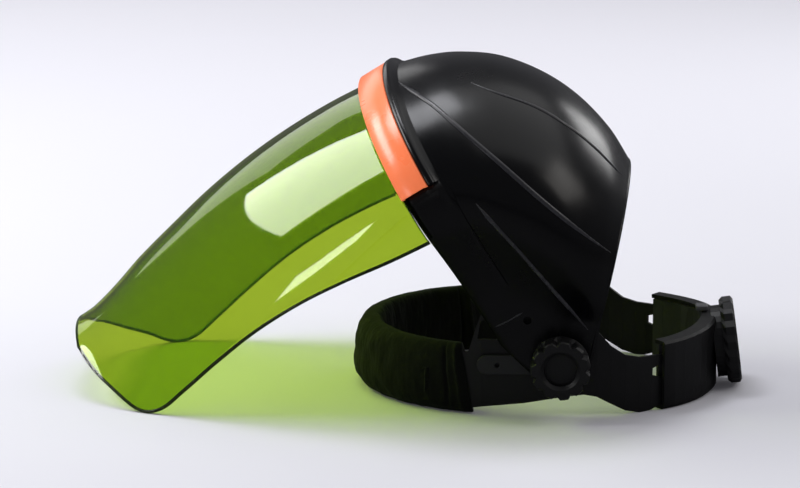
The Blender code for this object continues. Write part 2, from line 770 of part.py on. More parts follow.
def rim_arch(half_width, rise, start_height, steps):
    """Points and outward normals in (x, height) of the rim's arch, from one side to the other."""
    tall = rise - RIM_LEVEL
    start = asin((start_height - RIM_LEVEL) / tall)
    spots = []
    for k in range(steps + 1):
        a = start + (pi - 2 * start) * k / steps
        out = Vector((cos(a) / half_width, sin(a) / tall)).normalized()
        spots.append((Vector((half_width * cos(a), RIM_LEVEL + tall * sin(a))), out))
    return spots


def rim_sweep(name, spots, section, finish):
    """A section of (along, proud) pairs swept round the rim's arch."""
    loops = []
    for base, out in spots:
        loop = []
        for along, proud in section:
            spot = base + out * proud
            y, z = rim_point(along, spot.y)
            loop.append(Vector((spot.x, y, z)))
        loops.append(loop)
    return swept(name, loops, SHIELD, finish)


def build_flange():
    """The raised lip behind the clip, joined into the hood's wall."""
    front, rear = -SEAT_WIDTH - GAP, -SEAT_WIDTH - FLANGE_WIDTH
    section = (
        (front, -SEAT_SINK - ARM_WALL * 0.35), (front, FLANGE_PROUD),
        (rear + FLANGE_WIDTH * 0.25, FLANGE_PROUD), (rear, FLANGE_PROUD * 0.6),
        (rear, -ARM_WALL * 0.75),
    )
    spots = rim_arch(HOOD_HALF_WIDTH, HOOD_HEIGHT, TRIM_END, TRIM_STEPS)
    return rim_sweep("flange", spots, section, None)


def hood_wall(name, grid):
    """The whole wall of hood and arms under its outer surface."""
    bm = bmesh.new()
    verts = [[bm.verts.new(point) for point in row] for row in grid]
    for here, there in zip(verts, verts[1:]):
        for j in range(len(here) - 1):
            bm.faces.new((here[j], there[j], there[j + 1], here[j + 1]))
    mesh = bpy.data.meshes.new(name)
    bm.to_mesh(mesh)
    bm.free()
    made = mesh_object(name, mesh, SHIELD, PLASTIC)
    mirror = made.modifiers.new("both sides", "MIRROR")
    mirror.merge_threshold = 0.0001
    wall = made.modifiers.new("wall", "SOLIDIFY")
    wall.thickness = ARM_WALL
    wall.offset = -1.0
    return made


def build_crown():
    """The hood down to where its arms turn flat, with flange and ribs joined on."""
    grid = hood_grid()
    crown = hood_wall("crown", grid)
    boolean(crown, build_flange(), "UNION")
    for name, line in HOOD_RIBS.items():
        for rib in ridges(name, grid, line):
            boolean(crown, rib, "UNION")
    wide, deep = HOOD_HALF_WIDTH * 1.2, LUG_RADIUS * 4
    boolean(crown, box("arm_room", (-wide, -deep, -deep), (wide, deep, ARM_TOP + GAP), SHIELD, None))
    for side, name in ((1, "left"), (-1, "right")):
        boolean(crown, cylinder(f"arm_eye_{name}", ARM_EYE_RADIUS, side * ARM_INNER_X * 0.95,
                                side * ARM_OUTER_X * 1.12, ARM_EYE, SHIELD, None, 12))
    return crown


def build_arm(side, name):
    """The flat lower end of the hood's wall, from the crown down round the bolt."""
    arm = hood_wall(f"arm_{name}", hood_grid())
    deep = LUG_RADIUS * 4
    near, far = sorted((side * ARM_INNER_X * 0.8, side * ARM_OUTER_X * 1.2))
    boolean(arm, box(f"arm_end_{name}", (near, -deep, -deep), (far, deep, ARM_TOP), SHIELD, None),
            "INTERSECT")
    boolean(arm, cylinder(f"arm_hole_{name}", BOLT_RADIUS + GAP, side * ARM_INNER_X * 0.95,
                          side * ARM_OUTER_X * 1.05, (0.0, 0.0), SHIELD, None))
    return arm


# Visor


# Shares of VISOR_LENGTH along, then of VISOR_HEIGHT: top line, side edge, and ellipse centre,
# then the half width as a share of the hood's
VISOR_ROWS = (
    (0.000, 1.002, 0.512, 0.610, 1.000),
    (0.110, 1.013, 0.528, 0.570, 1.000),
    (0.240, 1.014, 0.550, 0.510, 0.998),
    (0.370, 1.003, 0.562, 0.440, 0.995),
    (0.510, 0.977, 0.556, 0.350, 0.990),
    (0.650, 0.937, 0.530, 0.240, 0.985),
    (0.770, 0.899, 0.500, 0.140, 0.980),
    (0.850, 0.866, 0.486, 0.085, 0.975),
    (0.905, 0.846, 0.520, 0.060, 0.975),
    (0.950, 0.833, 0.625, 0.045, 0.978),
    (0.975, 0.830, 0.690, 0.040, 0.982),
    (0.992, 0.829, 0.745, 0.040, 0.987),
    (1.000, 0.829, 0.780, 0.040, 0.990),
)


def visor_row(share):
    """One half arch of the visor's outer face."""
    top, edge, centre, width = (read_table(VISOR_ROWS, k, max(share, 0.0)) for k in range(1, 5))
    top, edge, centre = top * VISOR_HEIGHT, edge * VISOR_HEIGHT, centre * VISOR_HEIGHT
    half = width * HOOD_HALF_WIDTH
    start = asin(max(-1.0, (edge - centre) / (top - centre)))
    row = []
    for k in range(VISOR_ARCH_STEPS + 1):
        a = start + (pi / 2 - start) * k / VISOR_ARCH_STEPS
        x = half * cos(a) if k < VISOR_ARCH_STEPS else 0.0
        y, z = rim_point(share * VISOR_LENGTH, centre + (top - centre) * sin(a))
        row.append(Vector((x, y, z)))
    return row


def build_visor():
    """The moulded window, with a tongue behind the rim plane that is left only under the trim."""
    tongue = -(SEAT_WIDTH - 4 * GAP) / VISOR_LENGTH
    shares = [tongue, tongue * 0.5] + [row[0] for row in VISOR_ROWS]
    bm = bmesh.new()
    verts = [[bm.verts.new(point) for point in visor_row(share)] for share in shares]
    for here, there in zip(verts, verts[1:]):
        for j in range(len(here) - 1):
            bm.faces.new((here[j], here[j + 1], there[j + 1], there[j]))
    mesh = bpy.data.meshes.new("visor")
    bm.to_mesh(mesh)
    bm.free()
    visor = mesh_object("visor", mesh, SHIELD, GREEN)
    mirror = visor.modifiers.new("both sides", "MIRROR")
    mirror.merge_threshold = 0.0001
    wall = visor.modifiers.new("wall", "SOLIDIFY")
    wall.thickness = VISOR_WALL
    wall.offset = -1.0
    wide = HOOD_HALF_WIDTH * 1.2
    notch = box("visor_notch", (-wide, 2 * GAP, 0.0), (wide, SEAT_WIDTH * 1.5, TRIM_END + GAP),
                SHIELD, None)
    notch.location.y = RIM_Y
    notch.rotation_euler.x = RIM_LEAN
    boolean(visor, notch)
    return visor


def build_trim():
    """A channel over the visor's seat end, open towards the visor."""
    deep, wall = TRIM_PROUD, TRIM_WALL
    front, rear = 0.0, -SEAT_WIDTH
    section = (
        (rear, GAP), (rear, deep), (front, deep), (front, GAP),
        (front - wall, GAP), (front - wall, deep - wall), (rear + wall, deep - wall),
        (rear + wall, GAP),
    )
    spots = rim_arch(HOOD_HALF_WIDTH + GAP, VISOR_HEIGHT * 1.003, TRIM_END, TRIM_STEPS)
    return rim_sweep("brow_trim", spots, section, ORANGE)


# Assembly


def settle_angle(visor):
    """The turn about the tilt axis that brings the visor's lip down to the floor."""
    bpy.context.view_layer.update()
    graph = bpy.context.evaluated_depsgraph_get()
    points = [v.co.copy() for v in visor.evaluated_get(graph).to_mesh().vertices]
    low, high = radians(-10), radians(30)
    for _ in range(40):
        middle = (low + high) / 2
        turn = Matrix.Rotation(middle, 3, "X")
        if min((turn @ p).z for p in points) > GAP - PIVOT_HEIGHT:
            low = middle
        else:
            high = middle
    return low


def set_down(root):
    """Moves the whole so that its box is centred over the origin and its lowest point is at 0."""
    bpy.context.view_layer.update()
    graph = bpy.context.evaluated_depsgraph_get()
    low, high = 1.0, -1.0
    for thing in PARTS.objects:
        if thing.type != "MESH":
            continue
        shown = thing.evaluated_get(graph)
        for vertex in shown.to_mesh().vertices:
            y = (shown.matrix_world @ vertex.co).y
            low, high = min(low, y), max(high, y)
    root.location.y -= (low + high) / 2


PARTS, CUTTERS = start_scene()
PLASTIC = material("black moulded plastic", (0.012, 0.012, 0.014), 0.42)
KNOB_PLASTIC = material("black knob plastic", (0.014, 0.014, 0.016), 0.35)
TAB_PLASTIC = material("dark grey tab plastic", (0.035, 0.035, 0.040), 0.50)
LINER = material("grey liner plastic", (0.060, 0.060, 0.065), 0.55)
FABRIC = material("dark sweatband fabric", (0.006, 0.010, 0.006), 0.95)
ORANGE = material("orange trim plastic", (1.0, 0.22, 0.06), 0.35)
GREEN = material("green visor", (0.30, 0.62, 0.02), 0.05, clear=1.0)
STEEL = material("zinc plated steel", (0.55, 0.55, 0.56), 0.35, 1.0)

HEADGEAR = empty("headgear_frame", None, (0.0, 0.0, PIVOT_HEIGHT))
SHIELD = empty("shield_axis", HEADGEAR)

build_headband()
build_sweatband()
build_rear_cover()
build_rear_liner()
build_rear_clip()
build_rear_knob()
for SIDE, SIDE_NAME in ((1, "left"), (-1, "right")):
    build_tilt_tab(SIDE, SIDE_NAME)
    build_bolt(SIDE, SIDE_NAME)
    build_tilt_knob(SIDE, SIDE_NAME)
    build_arm(SIDE, SIDE_NAME)
build_crown()
build_trim()
SHIELD.rotation_euler.x = settle_angle(build_visor())
set_down(HEADGEAR)
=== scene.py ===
"""Looks of the face shield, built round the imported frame: smooth hood, visor and clip, a soft
sweatband, moulded details, materials, a pale studio and the photograph's camera."""

import json
from math import acos, asin, cos, exp, pi, radians, sin, sqrt

import bmesh
import bpy
from mathutils import Matrix, Vector, noise
from mathutils.bvhtree import BVHTree


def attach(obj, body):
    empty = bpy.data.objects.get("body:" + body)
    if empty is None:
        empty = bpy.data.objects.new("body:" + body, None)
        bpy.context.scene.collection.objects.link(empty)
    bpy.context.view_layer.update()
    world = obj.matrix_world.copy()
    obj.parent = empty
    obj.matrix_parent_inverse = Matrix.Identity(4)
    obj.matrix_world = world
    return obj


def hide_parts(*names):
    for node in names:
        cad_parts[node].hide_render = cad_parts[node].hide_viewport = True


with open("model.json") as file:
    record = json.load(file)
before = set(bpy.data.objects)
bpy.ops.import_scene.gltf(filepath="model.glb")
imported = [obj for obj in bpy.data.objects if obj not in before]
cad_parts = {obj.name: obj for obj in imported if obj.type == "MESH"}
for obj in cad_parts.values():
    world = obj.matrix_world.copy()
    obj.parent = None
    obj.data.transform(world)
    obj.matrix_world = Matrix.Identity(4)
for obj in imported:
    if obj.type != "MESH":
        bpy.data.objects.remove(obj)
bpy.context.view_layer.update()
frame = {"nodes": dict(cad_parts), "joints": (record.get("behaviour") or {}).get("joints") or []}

NODES = frame["nodes"]
TILT_AXIS = Vector(next(j["pos_m"] for j in frame["joints"] if j["name"] == "shield_tilt"))

# Turn of the shield about the tilt axis, as in the CAD source, that sets its lip on the floor
SETTLE = radians(0.834)
SHIELD_PLACE = Matrix.Translation(TILT_AXIS) @ Matrix.Rotation(SETTLE, 4, "X")
HEADGEAR_PLACE = Matrix.Translation(TILT_AXIS)

# Camera, as fitted to the photograph, and the floor
CAMERA_ELEVATION = radians(12.5)
CAMERA_YAW = radians(3.0)
CAMERA_DISTANCE = 2.0
CAMERA_LENS = 157.5
SENSOR_WIDTH = 36.0
CLIP_NEAR, CLIP_FAR = 0.05, 50.0
LOOKS_AT = TILT_AXIS + Vector((0.0, -0.0928, 0.0486))
FLOOR_HALF = 12.0

# Shield sizes, as in the CAD source
RIM_LEAN = radians(31.1)
RIM_Y = -0.0266
REAR_LEAN = radians(13.2)
HOOD_HALF_WIDTH = 0.1030
HOOD_HEIGHT = 0.1653
ARM_FOOT = 0.0120
ARM_OUTER_X = 0.0799
ARM_WALL = 0.0022
ARM_FLAT_TOP = 0.0210
ARM_EYE = (-0.0181, 0.0243)
ARM_EYE_RADIUS = 0.0022
BOLT_HOLE_RADIUS = 0.0043
HOLE_DEPTH = 0.0200
LUG_RADIUS = 0.0160
LUG_ROUND_PART = LUG_RADIUS * 0.75
SEAT_CURVE = 1.3
FIT = 0.0003
VISOR_WALL = 0.0025
VISOR_HEIGHT = 0.1640
VISOR_LENGTH = 0.2125
RIM_LEVEL = 0.1000
SEAT_WIDTH = 0.0160
SEAT_SINK = VISOR_WALL + 2 * FIT
TRIM_WALL = 0.0016
TRIM_PROUD = 0.0047
TRIM_END = 0.1120
TRIM_HEIGHT = VISOR_HEIGHT * 1.003
TRIM_ROUNDING = 0.0004

# Where a hood row's ellipse starts, as shares of its rise: at most this far below its widest level,
# and at least this far above the arm's flat face
LOWEST_START = -0.30
FLANK_SHARE = 0.12

# Section of the lip behind the clip: metres along the visor's run from the rim plane, and over the
# hood's face
LIP_SECTION = (
    (-0.0163, -0.0031), (-0.0163, 0.0038), (-0.0166, 0.0042), (-0.0172, 0.0044), (-0.0189, 0.0044),
    (-0.0199, 0.0039), (-0.0205, 0.0028), (-0.0213, 0.00132), (-0.0235, -0.0002), (-0.0235, -0.0011),
)

# The hood's rolled rear edge, and the visor's cut edge as half depth, half height and set-back
BEAD_RADIUS = ARM_WALL * 0.62
BEAD_INSET = 0.0009
EDGE_DEPTH = 0.0009
EDGE_HALF_HEIGHT = VISOR_WALL * 0.54
EDGE_INSET = EDGE_DEPTH * 0.9

# Level, from the tilt axis, round which the visor's outer side is told from its inner one
VISOR_AXIS_Z = -0.05

# Sweatband: the brow strip's ellipse, the sleeve's ends, height and thickness (more at the front),
# its flare at the bottom, how deep its puffs, nap and end rolls are and how often they come, where
# its seam and its rolls are, how it thins at the ends, and the powers that square its section
BAND_HALF_BREADTH = 0.0745
BAND_FRONT_Y = -0.035
BAND_FRONT_REACH = 0.078
PAD_REAR_Y = -0.052
PAD_END = acos((BAND_FRONT_Y - PAD_REAR_Y) / BAND_FRONT_REACH)
PAD_SLANT = 0.045
PAD_HEIGHT = 0.0400
PAD_FULLNESS = 0.985
PAD_THICK_OUT = 0.0040
PAD_THICK_IN = 0.0076
PAD_BULGE = 0.0012
PAD_CORE = 0.0015
PAD_CORE_FRONT = 0.0045
PAD_FLARE = 0.0060
PAD_PUFF = 0.0009
PAD_NAP = 0.0003
PAD_ROLL = 0.0013
PAD_SEAM, PAD_SEAM_WIDTH = 0.90, 0.010
PAD_ROLL_AT, PAD_ROLL_WIDTH = 0.965, 0.014
PAD_TAPER_FROM, PAD_TAPER = 0.95, 0.45
PAD_PUFF_RATE = (9.0, 2.0)
PAD_NAP_RATE = (32.0, 7.0, 2.0)
PAD_SQUARE_ACROSS, PAD_SQUARE_UP = 0.72, 0.85
PAD_SLANT_POWER = 8
PAD_FRONT_POWER = 1.2

# The sewn tick near each end: share of the sleeve's length and turn round its section, then the
# thread's half sizes and the turn that slants its loops
PAD_TICK = ((0.770, 0.16), (0.795, 0.18), (0.795, -0.10), (0.792, -0.36))
TICK_HALF = (0.0008, 0.0013, 0.0008)
TICK_SLANT = 0.6

# How finely the smooth pieces are divided, the rows and steps across each for one half, then the
# distance that is welded, the smallest step that keeps points apart, where the rays that look for
# the hood's side start, and the angle above which an edge is rounded
SEAT_ROWS = 4
HOOD_ROWS = 72
FLAT_STEPS = 5
FLANK_STEPS = 22
ARCH_STEPS = 44
VISOR_ROWS = 110
VISOR_STEPS = 64
TONGUE_ROWS = 4
RIM_STEPS = 120
RIB_STEPS = 70
RIB_ROUND_STEPS = 6
BAND_ROWS = 60
BAND_COLUMNS = 16
PAD_STEPS = 260
PAD_ROUND_STEPS = 64
ROUND_STEPS = 10
TICK_STEPS = 8
HOLE_SEGMENTS = 40
WELD_DISTANCE = 0.00002
SLIVER = 1e-5
RAY_START_X = 0.3
SHARP_ANGLE = radians(35)

# Hood top behind the flange as shares of HOOD_HEIGHT: y, z and half width, widest level and foot
# place by share of the way back
HOOD_CREST = (
    (0.00, -0.563, 0.924, 1.000, 0.665, 0.00),
    (0.13, -0.459, 0.951, 1.005, 0.635, 0.18),
    (0.26, -0.356, 0.962, 1.005, 0.605, 0.36),
    (0.42, -0.215, 0.950, 0.990, 0.570, 0.54),
    (0.59, -0.066, 0.894, 0.960, 0.535, 0.70),
    (0.75, 0.060, 0.810, 0.915, 0.500, 0.84),
    (0.89, 0.168, 0.696, 0.860, 0.470, 0.94),
    (1.00, 0.240, 0.580, 0.810, 0.450, 1.00),
)

# Visor by share of its length: top line, side edge, ellipse centre as shares of VISOR_HEIGHT, and
# half width as a share of the hood's
VISOR_TABLE = (
    (0.000, 1.002, 0.512, 0.610, 1.000),
    (0.110, 1.013, 0.528, 0.570, 1.000),
    (0.240, 1.014, 0.550, 0.510, 0.998),
    (0.370, 1.003, 0.562, 0.440, 0.995),
    (0.510, 0.977, 0.556, 0.350, 0.990),
    (0.650, 0.937, 0.530, 0.240, 0.985),
    (0.770, 0.899, 0.500, 0.140, 0.980),
    (0.850, 0.866, 0.486, 0.085, 0.975),
    (0.905, 0.846, 0.520, 0.060, 0.975),
    (0.950, 0.833, 0.625, 0.045, 0.978),
    (0.975, 0.830, 0.690, 0.040, 0.982),
    (0.992, 0.829, 0.745, 0.040, 0.987),
    (1.000, 0.829, 0.780, 0.040, 0.990),
)

# Raised lines of the hood in side view round the tilt axis, in metres: width, how far it stands
# proud, then y and z of each waypoint
HOOD_RIBS = {
    "crease_long": (0.0030, 0.0008, (
        (-0.0900, 0.1500), (-0.0760, 0.1455), (-0.0620, 0.1380), (-0.0340, 0.1170), (-0.0065, 0.0930),
        (0.0275, 0.0630))),
    "crease_upper": (0.0026, 0.0006, (
        (-0.0490, 0.1515), (-0.0170, 0.1405), (0.0040, 0.1280), (0.0200, 0.1140), (0.0350, 0.0965))),
    "crease_arm": (0.0024, 0.0008, (
        (-0.0450, 0.0950), (-0.0340, 0.0815), (-0.0230, 0.0680), (-0.0040, 0.0430), (0.0150, 0.0190))),
    "arm_mark": (0.0010, 0.0003, ((-0.0360, 0.0206), (-0.0280, 0.0245), (-0.0206, 0.0290))),
}

# Raised lines fade over a share of their length, from a share of their size, and sink into the wall
RIB_FADE_FROM = 0.15
RIB_FADE_RATE = 6.0
RIB_SUNK = ARM_WALL * 0.3

# The raised band along the hood's front edge, from the step on the arm up to the clip: share of the
# way up, then its front and its rear edge in side view, y and z
EDGE_BAND = (
    (0.00, -0.0455, 0.0372, -0.0285, 0.0450),
    (0.20, -0.0525, 0.0480, -0.0352, 0.0565),
    (0.45, -0.0610, 0.0620, -0.0428, 0.0705),
    (0.75, -0.0715, 0.0785, -0.0520, 0.0890),
    (1.00, -0.0800, 0.0930, -0.0600, 0.1060),
)
EDGE_BAND_PROUD = 0.0011
EDGE_BAND_SUNK = EDGE_BAND_PROUD * 1.6
EDGE_BAND_FLAT = 0.44


# Shape helpers


def read_table(rows, column, at):
    """A column of a table of rows, read at a share of its first column, smoothly."""
    keys = [row[0] for row in rows]
    values = [row[column] for row in rows]
    k = max(i for i in range(len(keys) - 1) if at >= keys[i] or i == 0)
    span = keys[k + 1] - keys[k]
    t = min(max((at - keys[k]) / span, 0.0), 1.0)

    def slope(i):
        low, high = max(i - 1, 0), min(i + 1, len(keys) - 1)
        return (values[high] - values[low]) / (keys[high] - keys[low]) * span

    t2, t3 = t * t, t * t * t
    return (
        (2 * t3 - 3 * t2 + 1) * values[k] + (t3 - 2 * t2 + t) * slope(k)
        + (3 * t2 - 2 * t3) * values[k + 1] + (t3 - t2) * slope(k + 1)
    )


def piece(name, bm, place, body, smooth):
    """A finished mesh, moved to its place, that rides on a body; smooth is its sharp angle."""
    bmesh.ops.recalc_face_normals(bm, faces=bm.faces)
    mesh = bpy.data.meshes.new(name)
    bm.to_mesh(mesh)
    bm.free()
    mesh.transform(place)
    mesh.shade_smooth()
    mesh.set_sharp_from_angle(angle=radians(smooth))
    made = bpy.data.objects.new(name, mesh)
    bpy.context.scene.collection.objects.link(made)
    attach(made, body)
    return made


def whole(row):
    """A half row from the side to the middle, with its mirror image added."""
    return row + [Vector((-p.x, p.y, p.z)) for p in reversed(row[:-1])]


def sheet_over(bm, rows):
    """Adds an open sheet over rows of equal count."""
    grid = [[bm.verts.new(p) for p in row] for row in rows]
    for here, there in zip(grid, grid[1:]):
        for j in range(len(here) - 1):
            bm.faces.new((here[j], here[j + 1], there[j + 1], there[j]))


def skin(rows):
    """A bmesh sheet over half rows and their mirror images."""
    bm = bmesh.new()
    sheet_over(bm, [whole(row) for row in rows])
    return bm


def tube(bm, loops):
    """Adds a solid skinned over closed loops, capped at both ends."""
    rings = [[bm.verts.new(p) for p in loop] for loop in loops]
    for here, there in zip(rings, rings[1:]):
        for k in range(len(here)):
            n = (k + 1) % len(here)
            bm.faces.new((here[k], here[n], there[n], there[k]))
    bm.faces.new(rings[0])
    bm.faces.new(rings[-1])


def ring(centre, wide, tall, steps):
    """A closed loop round a centre, its half axes given as vectors."""
    turns = (2 * pi * j / steps for j in range(steps))
    return [centre + wide * cos(a) + tall * sin(a) for a in turns]


def wall(thing, thickness):
    """Gives an outer surface its wall, inwards."""
    step = thing.modifiers.new("wall", "SOLIDIFY")
    step.thickness = thickness
    step.offset = -1.0
    step.use_even_offset = True


def soften(thing, width):
    """Welds an imported mesh at its split normals and rounds its sharp edges."""
    weld = thing.modifiers.new("weld", "WELD")
    weld.merge_threshold = WELD_DISTANCE
    step = thing.modifiers.new("rounded edges", "BEVEL")
    step.width = width
    step.segments = 2
    step.limit_method = "ANGLE"
    step.angle_limit = SHARP_ANGLE
    step.harden_normals = False


def rim_point(along, height):
    """(y, z) of a point along the visor's run and up the rim plane."""
    return (
        RIM_Y - along * cos(RIM_LEAN) - height * sin(RIM_LEAN),
        -along * sin(RIM_LEAN) + height * cos(RIM_LEAN),
    )


def arch(foot, crest, half_width, level):
    """Half of a hood row: a flank from the arm's flat face, then a quarter ellipse to the top."""
    foot, crest = Vector(foot), Vector(crest)
    length = (crest - foot).length
    up = (crest - foot) / length
    flat = max(0.0, (ARM_FLAT_TOP - foot.y) / up.y)
    rise = length * (1 - level)
    turns_from = asin(max(LOWEST_START, (flat + rise * FLANK_SHARE - length * level) / rise))
    join_x = half_width * cos(turns_from)
    join_h = length * level + rise * sin(turns_from)
    join_slope = half_width * sin(-turns_from) / (rise * cos(turns_from))
    points = [(ARM_OUTER_X, flat * k / FLAT_STEPS) for k in range(FLAT_STEPS)]
    if flat <= 0:
        points = [(ARM_OUTER_X, -SLIVER * (FLAT_STEPS - k)) for k in range(FLAT_STEPS)]
    for k in range(FLANK_STEPS):
        t = k / FLANK_STEPS
        span = join_h - flat
        bend = (3 * t * t - 2 * t ** 3) * (join_x - ARM_OUTER_X) + (t ** 3 - t * t) * join_slope * span
        points.append((ARM_OUTER_X + bend, flat + span * t))
    for k in range(ARCH_STEPS + 1):
        a = turns_from + (pi / 2 - turns_from) * k / ARCH_STEPS
        x = half_width * cos(a) if k < ARCH_STEPS else 0.0
        points.append((x, length * level + rise * sin(a)))
    return [Vector((x, foot.x + up.x * h, foot.y + up.y * h)) for x, h in points]


def lug_point(share):
    """(y, z) round the arm's lower end, from below the pivot (0) to the rear edge (1)."""
    start, end = -pi / 2 + RIM_LEAN, -REAR_LEAN
    angle = start + (end - start) * share
    return LUG_RADIUS * cos(angle), LUG_RADIUS * sin(angle)


def hood_row(share):
    """Foot, crest, half width and widest level of a row behind the lip."""
    y, z, width, level, foot = (read_table(HOOD_CREST, k, share) for k in range(1, 6))
    return lug_point(foot), (y * HOOD_HEIGHT, z * HOOD_HEIGHT), width * HOOD_HALF_WIDTH, level


def seat_row(along):
    """A row of the front seat, at a distance behind the rim plane."""
    pivot_along, pivot_height = RIM_Y * cos(RIM_LEAN), RIM_Y * sin(RIM_LEAN)
    behind = along - pivot_along
    if abs(behind) < LUG_ROUND_PART:
        foot = pivot_height - sqrt(LUG_RADIUS ** 2 - behind ** 2)
    else:
        edge = pivot_height - sqrt(LUG_RADIUS ** 2 - LUG_ROUND_PART ** 2)
        start = pivot_along + LUG_ROUND_PART
        foot = edge + (ARM_FOOT - edge) * ((along - start) / -start) ** SEAT_CURVE
    rise = VISOR_HEIGHT - SEAT_SINK
    level = (RIM_LEVEL - foot) / (rise - foot)
    return rim_point(along, foot), rim_point(along, rise), HOOD_HALF_WIDTH - SEAT_SINK, level


def hood_rows():
    """The hood's outer surface, one half: front seat, then rows fanned to the rear edge."""
    rows = [arch(*seat_row(-SEAT_WIDTH * k / SEAT_ROWS)) for k in range(SEAT_ROWS + 1)]
    rows += [arch(*hood_row(k / HOOD_ROWS)) for k in range(HOOD_ROWS + 1)]
    return rows


def visor_row(share):
    """One half arch of the visor's outer face. Behind the rim plane (share under 0) it is the
    tongue, which ends at the clip's lower end."""
    top, edge, centre, width = (read_table(VISOR_TABLE, k, max(share, 0.0)) for k in range(1, 5))
    top, edge, centre = top * VISOR_HEIGHT, edge * VISOR_HEIGHT, centre * VISOR_HEIGHT
    if share < 0:
        edge = TRIM_END + FIT
    start = asin(max(-1.0, (edge - centre) / (top - centre)))
    row = []
    for k in range(VISOR_STEPS + 1):
        a = start + (pi / 2 - start) * k / VISOR_STEPS
        x = width * HOOD_HALF_WIDTH * cos(a) if k < VISOR_STEPS else 0.0
        y, z = rim_point(share * VISOR_LENGTH, centre + (top - centre) * sin(a))
        row.append(Vector((x, y, z)))
    return row


def rim_spots(half_width, rise, start_height):
    """Points and outward normals in (x, height) round the rim's arch."""
    tall = rise - RIM_LEVEL
    start = asin((start_height - RIM_LEVEL) / tall)
    spots = []
    for k in range(RIM_STEPS + 1):
        a = start + (pi - 2 * start) * k / RIM_STEPS
        out = Vector((cos(a) / half_width, sin(a) / tall)).normalized()
        spots.append((Vector((half_width * cos(a), RIM_LEVEL + tall * sin(a))), out))
    return spots


def rim_loops(spots, section):
    """Loops of a section of (along, proud) pairs carried round the rim's arch."""
    loops = []
    for base, out in spots:
        loop = []
        for along, proud in section:
            spot = base + out * proud
            y, z = rim_point(along, spot.y)
            loop.append(Vector((spot.x, y, z)))
        loops.append(loop)
    return loops


# Hood


def on_side(tree, y, z):
    """The hood's outer surface at a place in side view, with its outward normal."""
    hit, normal, _, _ = tree.ray_cast(Vector((RAY_START_X, y, z)), Vector((-1.0, 0.0, 0.0)))
    return (hit, normal) if hit else (None, None)


def smooth_path(points, steps):
    """Points along a smooth curve through the waypoints."""
    table = [(k, *p) for k, p in enumerate(points)]
    last = len(points) - 1
    return [
        (read_table(table, 1, last * k / steps), read_table(table, 2, last * k / steps))
        for k in range(steps + 1)
    ]


def raised_line(bm, tree, width, proud, points, side):
    """A rounded raised line on one side of the hood, fading at both ends."""
    found = [on_side(tree, y, z) for y, z in smooth_path(points, RIB_STEPS)]
    found = [(spot, normal) for spot, normal in found if spot]
    loops = []
    for k, (spot, normal) in enumerate(found):
        ahead = found[min(k + 1, len(found) - 1)][0] - found[max(k - 1, 0)][0]
        across = ahead.cross(normal).normalized()
        ends = min(k, len(found) - 1 - k) / (len(found) - 1)
        fade = min(1.0, RIB_FADE_FROM + RIB_FADE_RATE * ends)
        loop = []
        for j in range(RIB_ROUND_STEPS + 1):
            a = pi * j / RIB_ROUND_STEPS
            loop.append(spot + across * cos(a) * width / 2 * fade + normal * sin(a) * proud * fade)
        for end in (-0.5, 0.5):
            loop.append(spot + across * end * width * fade - normal * RIB_SUNK)
        loops.append([Vector((side * p.x, p.y, p.z)) for p in loop])
    tube(bm, loops)


def raised_band(bm, tree, side):
    """The raised front band on one side: a face proud of the hood with a skirt down into it."""
    rows = []
    for k in range(BAND_ROWS + 1):
        y0, z0, y1, z1 = (read_table(EDGE_BAND, c, k / BAND_ROWS) for c in range(1, 5))
        front, rear = on_side(tree, y0, z0)[0], on_side(tree, y1, z1)[0]
        if not (front and rear):
            continue
        row = []
        for j in range(BAND_COLUMNS + 1):
            u = j / BAND_COLUMNS
            y, z = y0 + (y1 - y0) * u, z0 + (z1 - z0) * u
            spot, _ = on_side(tree, y, z)
            ruled = front.x + (rear.x - front.x) * u
            past_flat = max(0.0, abs(u - 0.5) - EDGE_BAND_FLAT) / (0.5 - EDGE_BAND_FLAT)
            x = max(spot.x if spot else ruled, ruled) + EDGE_BAND_PROUD * (1.0 - 0.5 * past_flat)
            row.append(Vector((x, y, z)))
        rows.append(row)
    sunk = Vector((EDGE_BAND_SUNK, 0.0, 0.0))
    rows = [[row[0] - sunk] + row + [row[-1] - sunk] for row in rows]
    rows = [[p - sunk for p in rows[0]]] + rows
    sheet_over(bm, [[(side * p.x, p.y, p.z) for p in row] for row in rows])


def cut_holes(shell):
    """Bores the bolt holes and the small eyes in the arms, and keeps the result as the mesh."""
    cutters = []
    for radius, place in ((BOLT_HOLE_RADIUS, (0.0, 0.0)), (ARM_EYE_RADIUS, ARM_EYE)):
        for side in (1, -1):
            bm = bmesh.new()
            spot = SHIELD_PLACE @ Vector((side * ARM_OUTER_X, *place))
            bmesh.ops.create_cone(
                bm, cap_ends=True, segments=HOLE_SEGMENTS, radius1=radius, radius2=radius,
                depth=HOLE_DEPTH, matrix=Matrix.Translation(spot) @ Matrix.Rotation(pi / 2, 4, "Y"))
            mesh = bpy.data.meshes.new("cutter")
            bm.to_mesh(mesh)
            bm.free()
            cutter = bpy.data.objects.new("cutter", mesh)
            bpy.context.scene.collection.objects.link(cutter)
            step = shell.modifiers.new("hole", "BOOLEAN")
            step.solver = "EXACT"
            step.object = cutter
            cutters.append(cutter)
    bpy.context.view_layer.update()
    graph = bpy.context.evaluated_depsgraph_get()
    done = bpy.data.meshes.new_from_object(shell.evaluated_get(graph), depsgraph=graph)
    shell.modifiers.clear()
    shell.data = done
    for cutter in cutters:
        bpy.data.objects.remove(cutter)


def build_shell(bm):
    """The smooth hood with its arms."""
    shell = piece("hood_shell", bm, SHIELD_PLACE, "shield", 50)
    wall(shell, ARM_WALL)
    cut_holes(shell)
    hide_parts("crown", "arm_left", "arm_right")


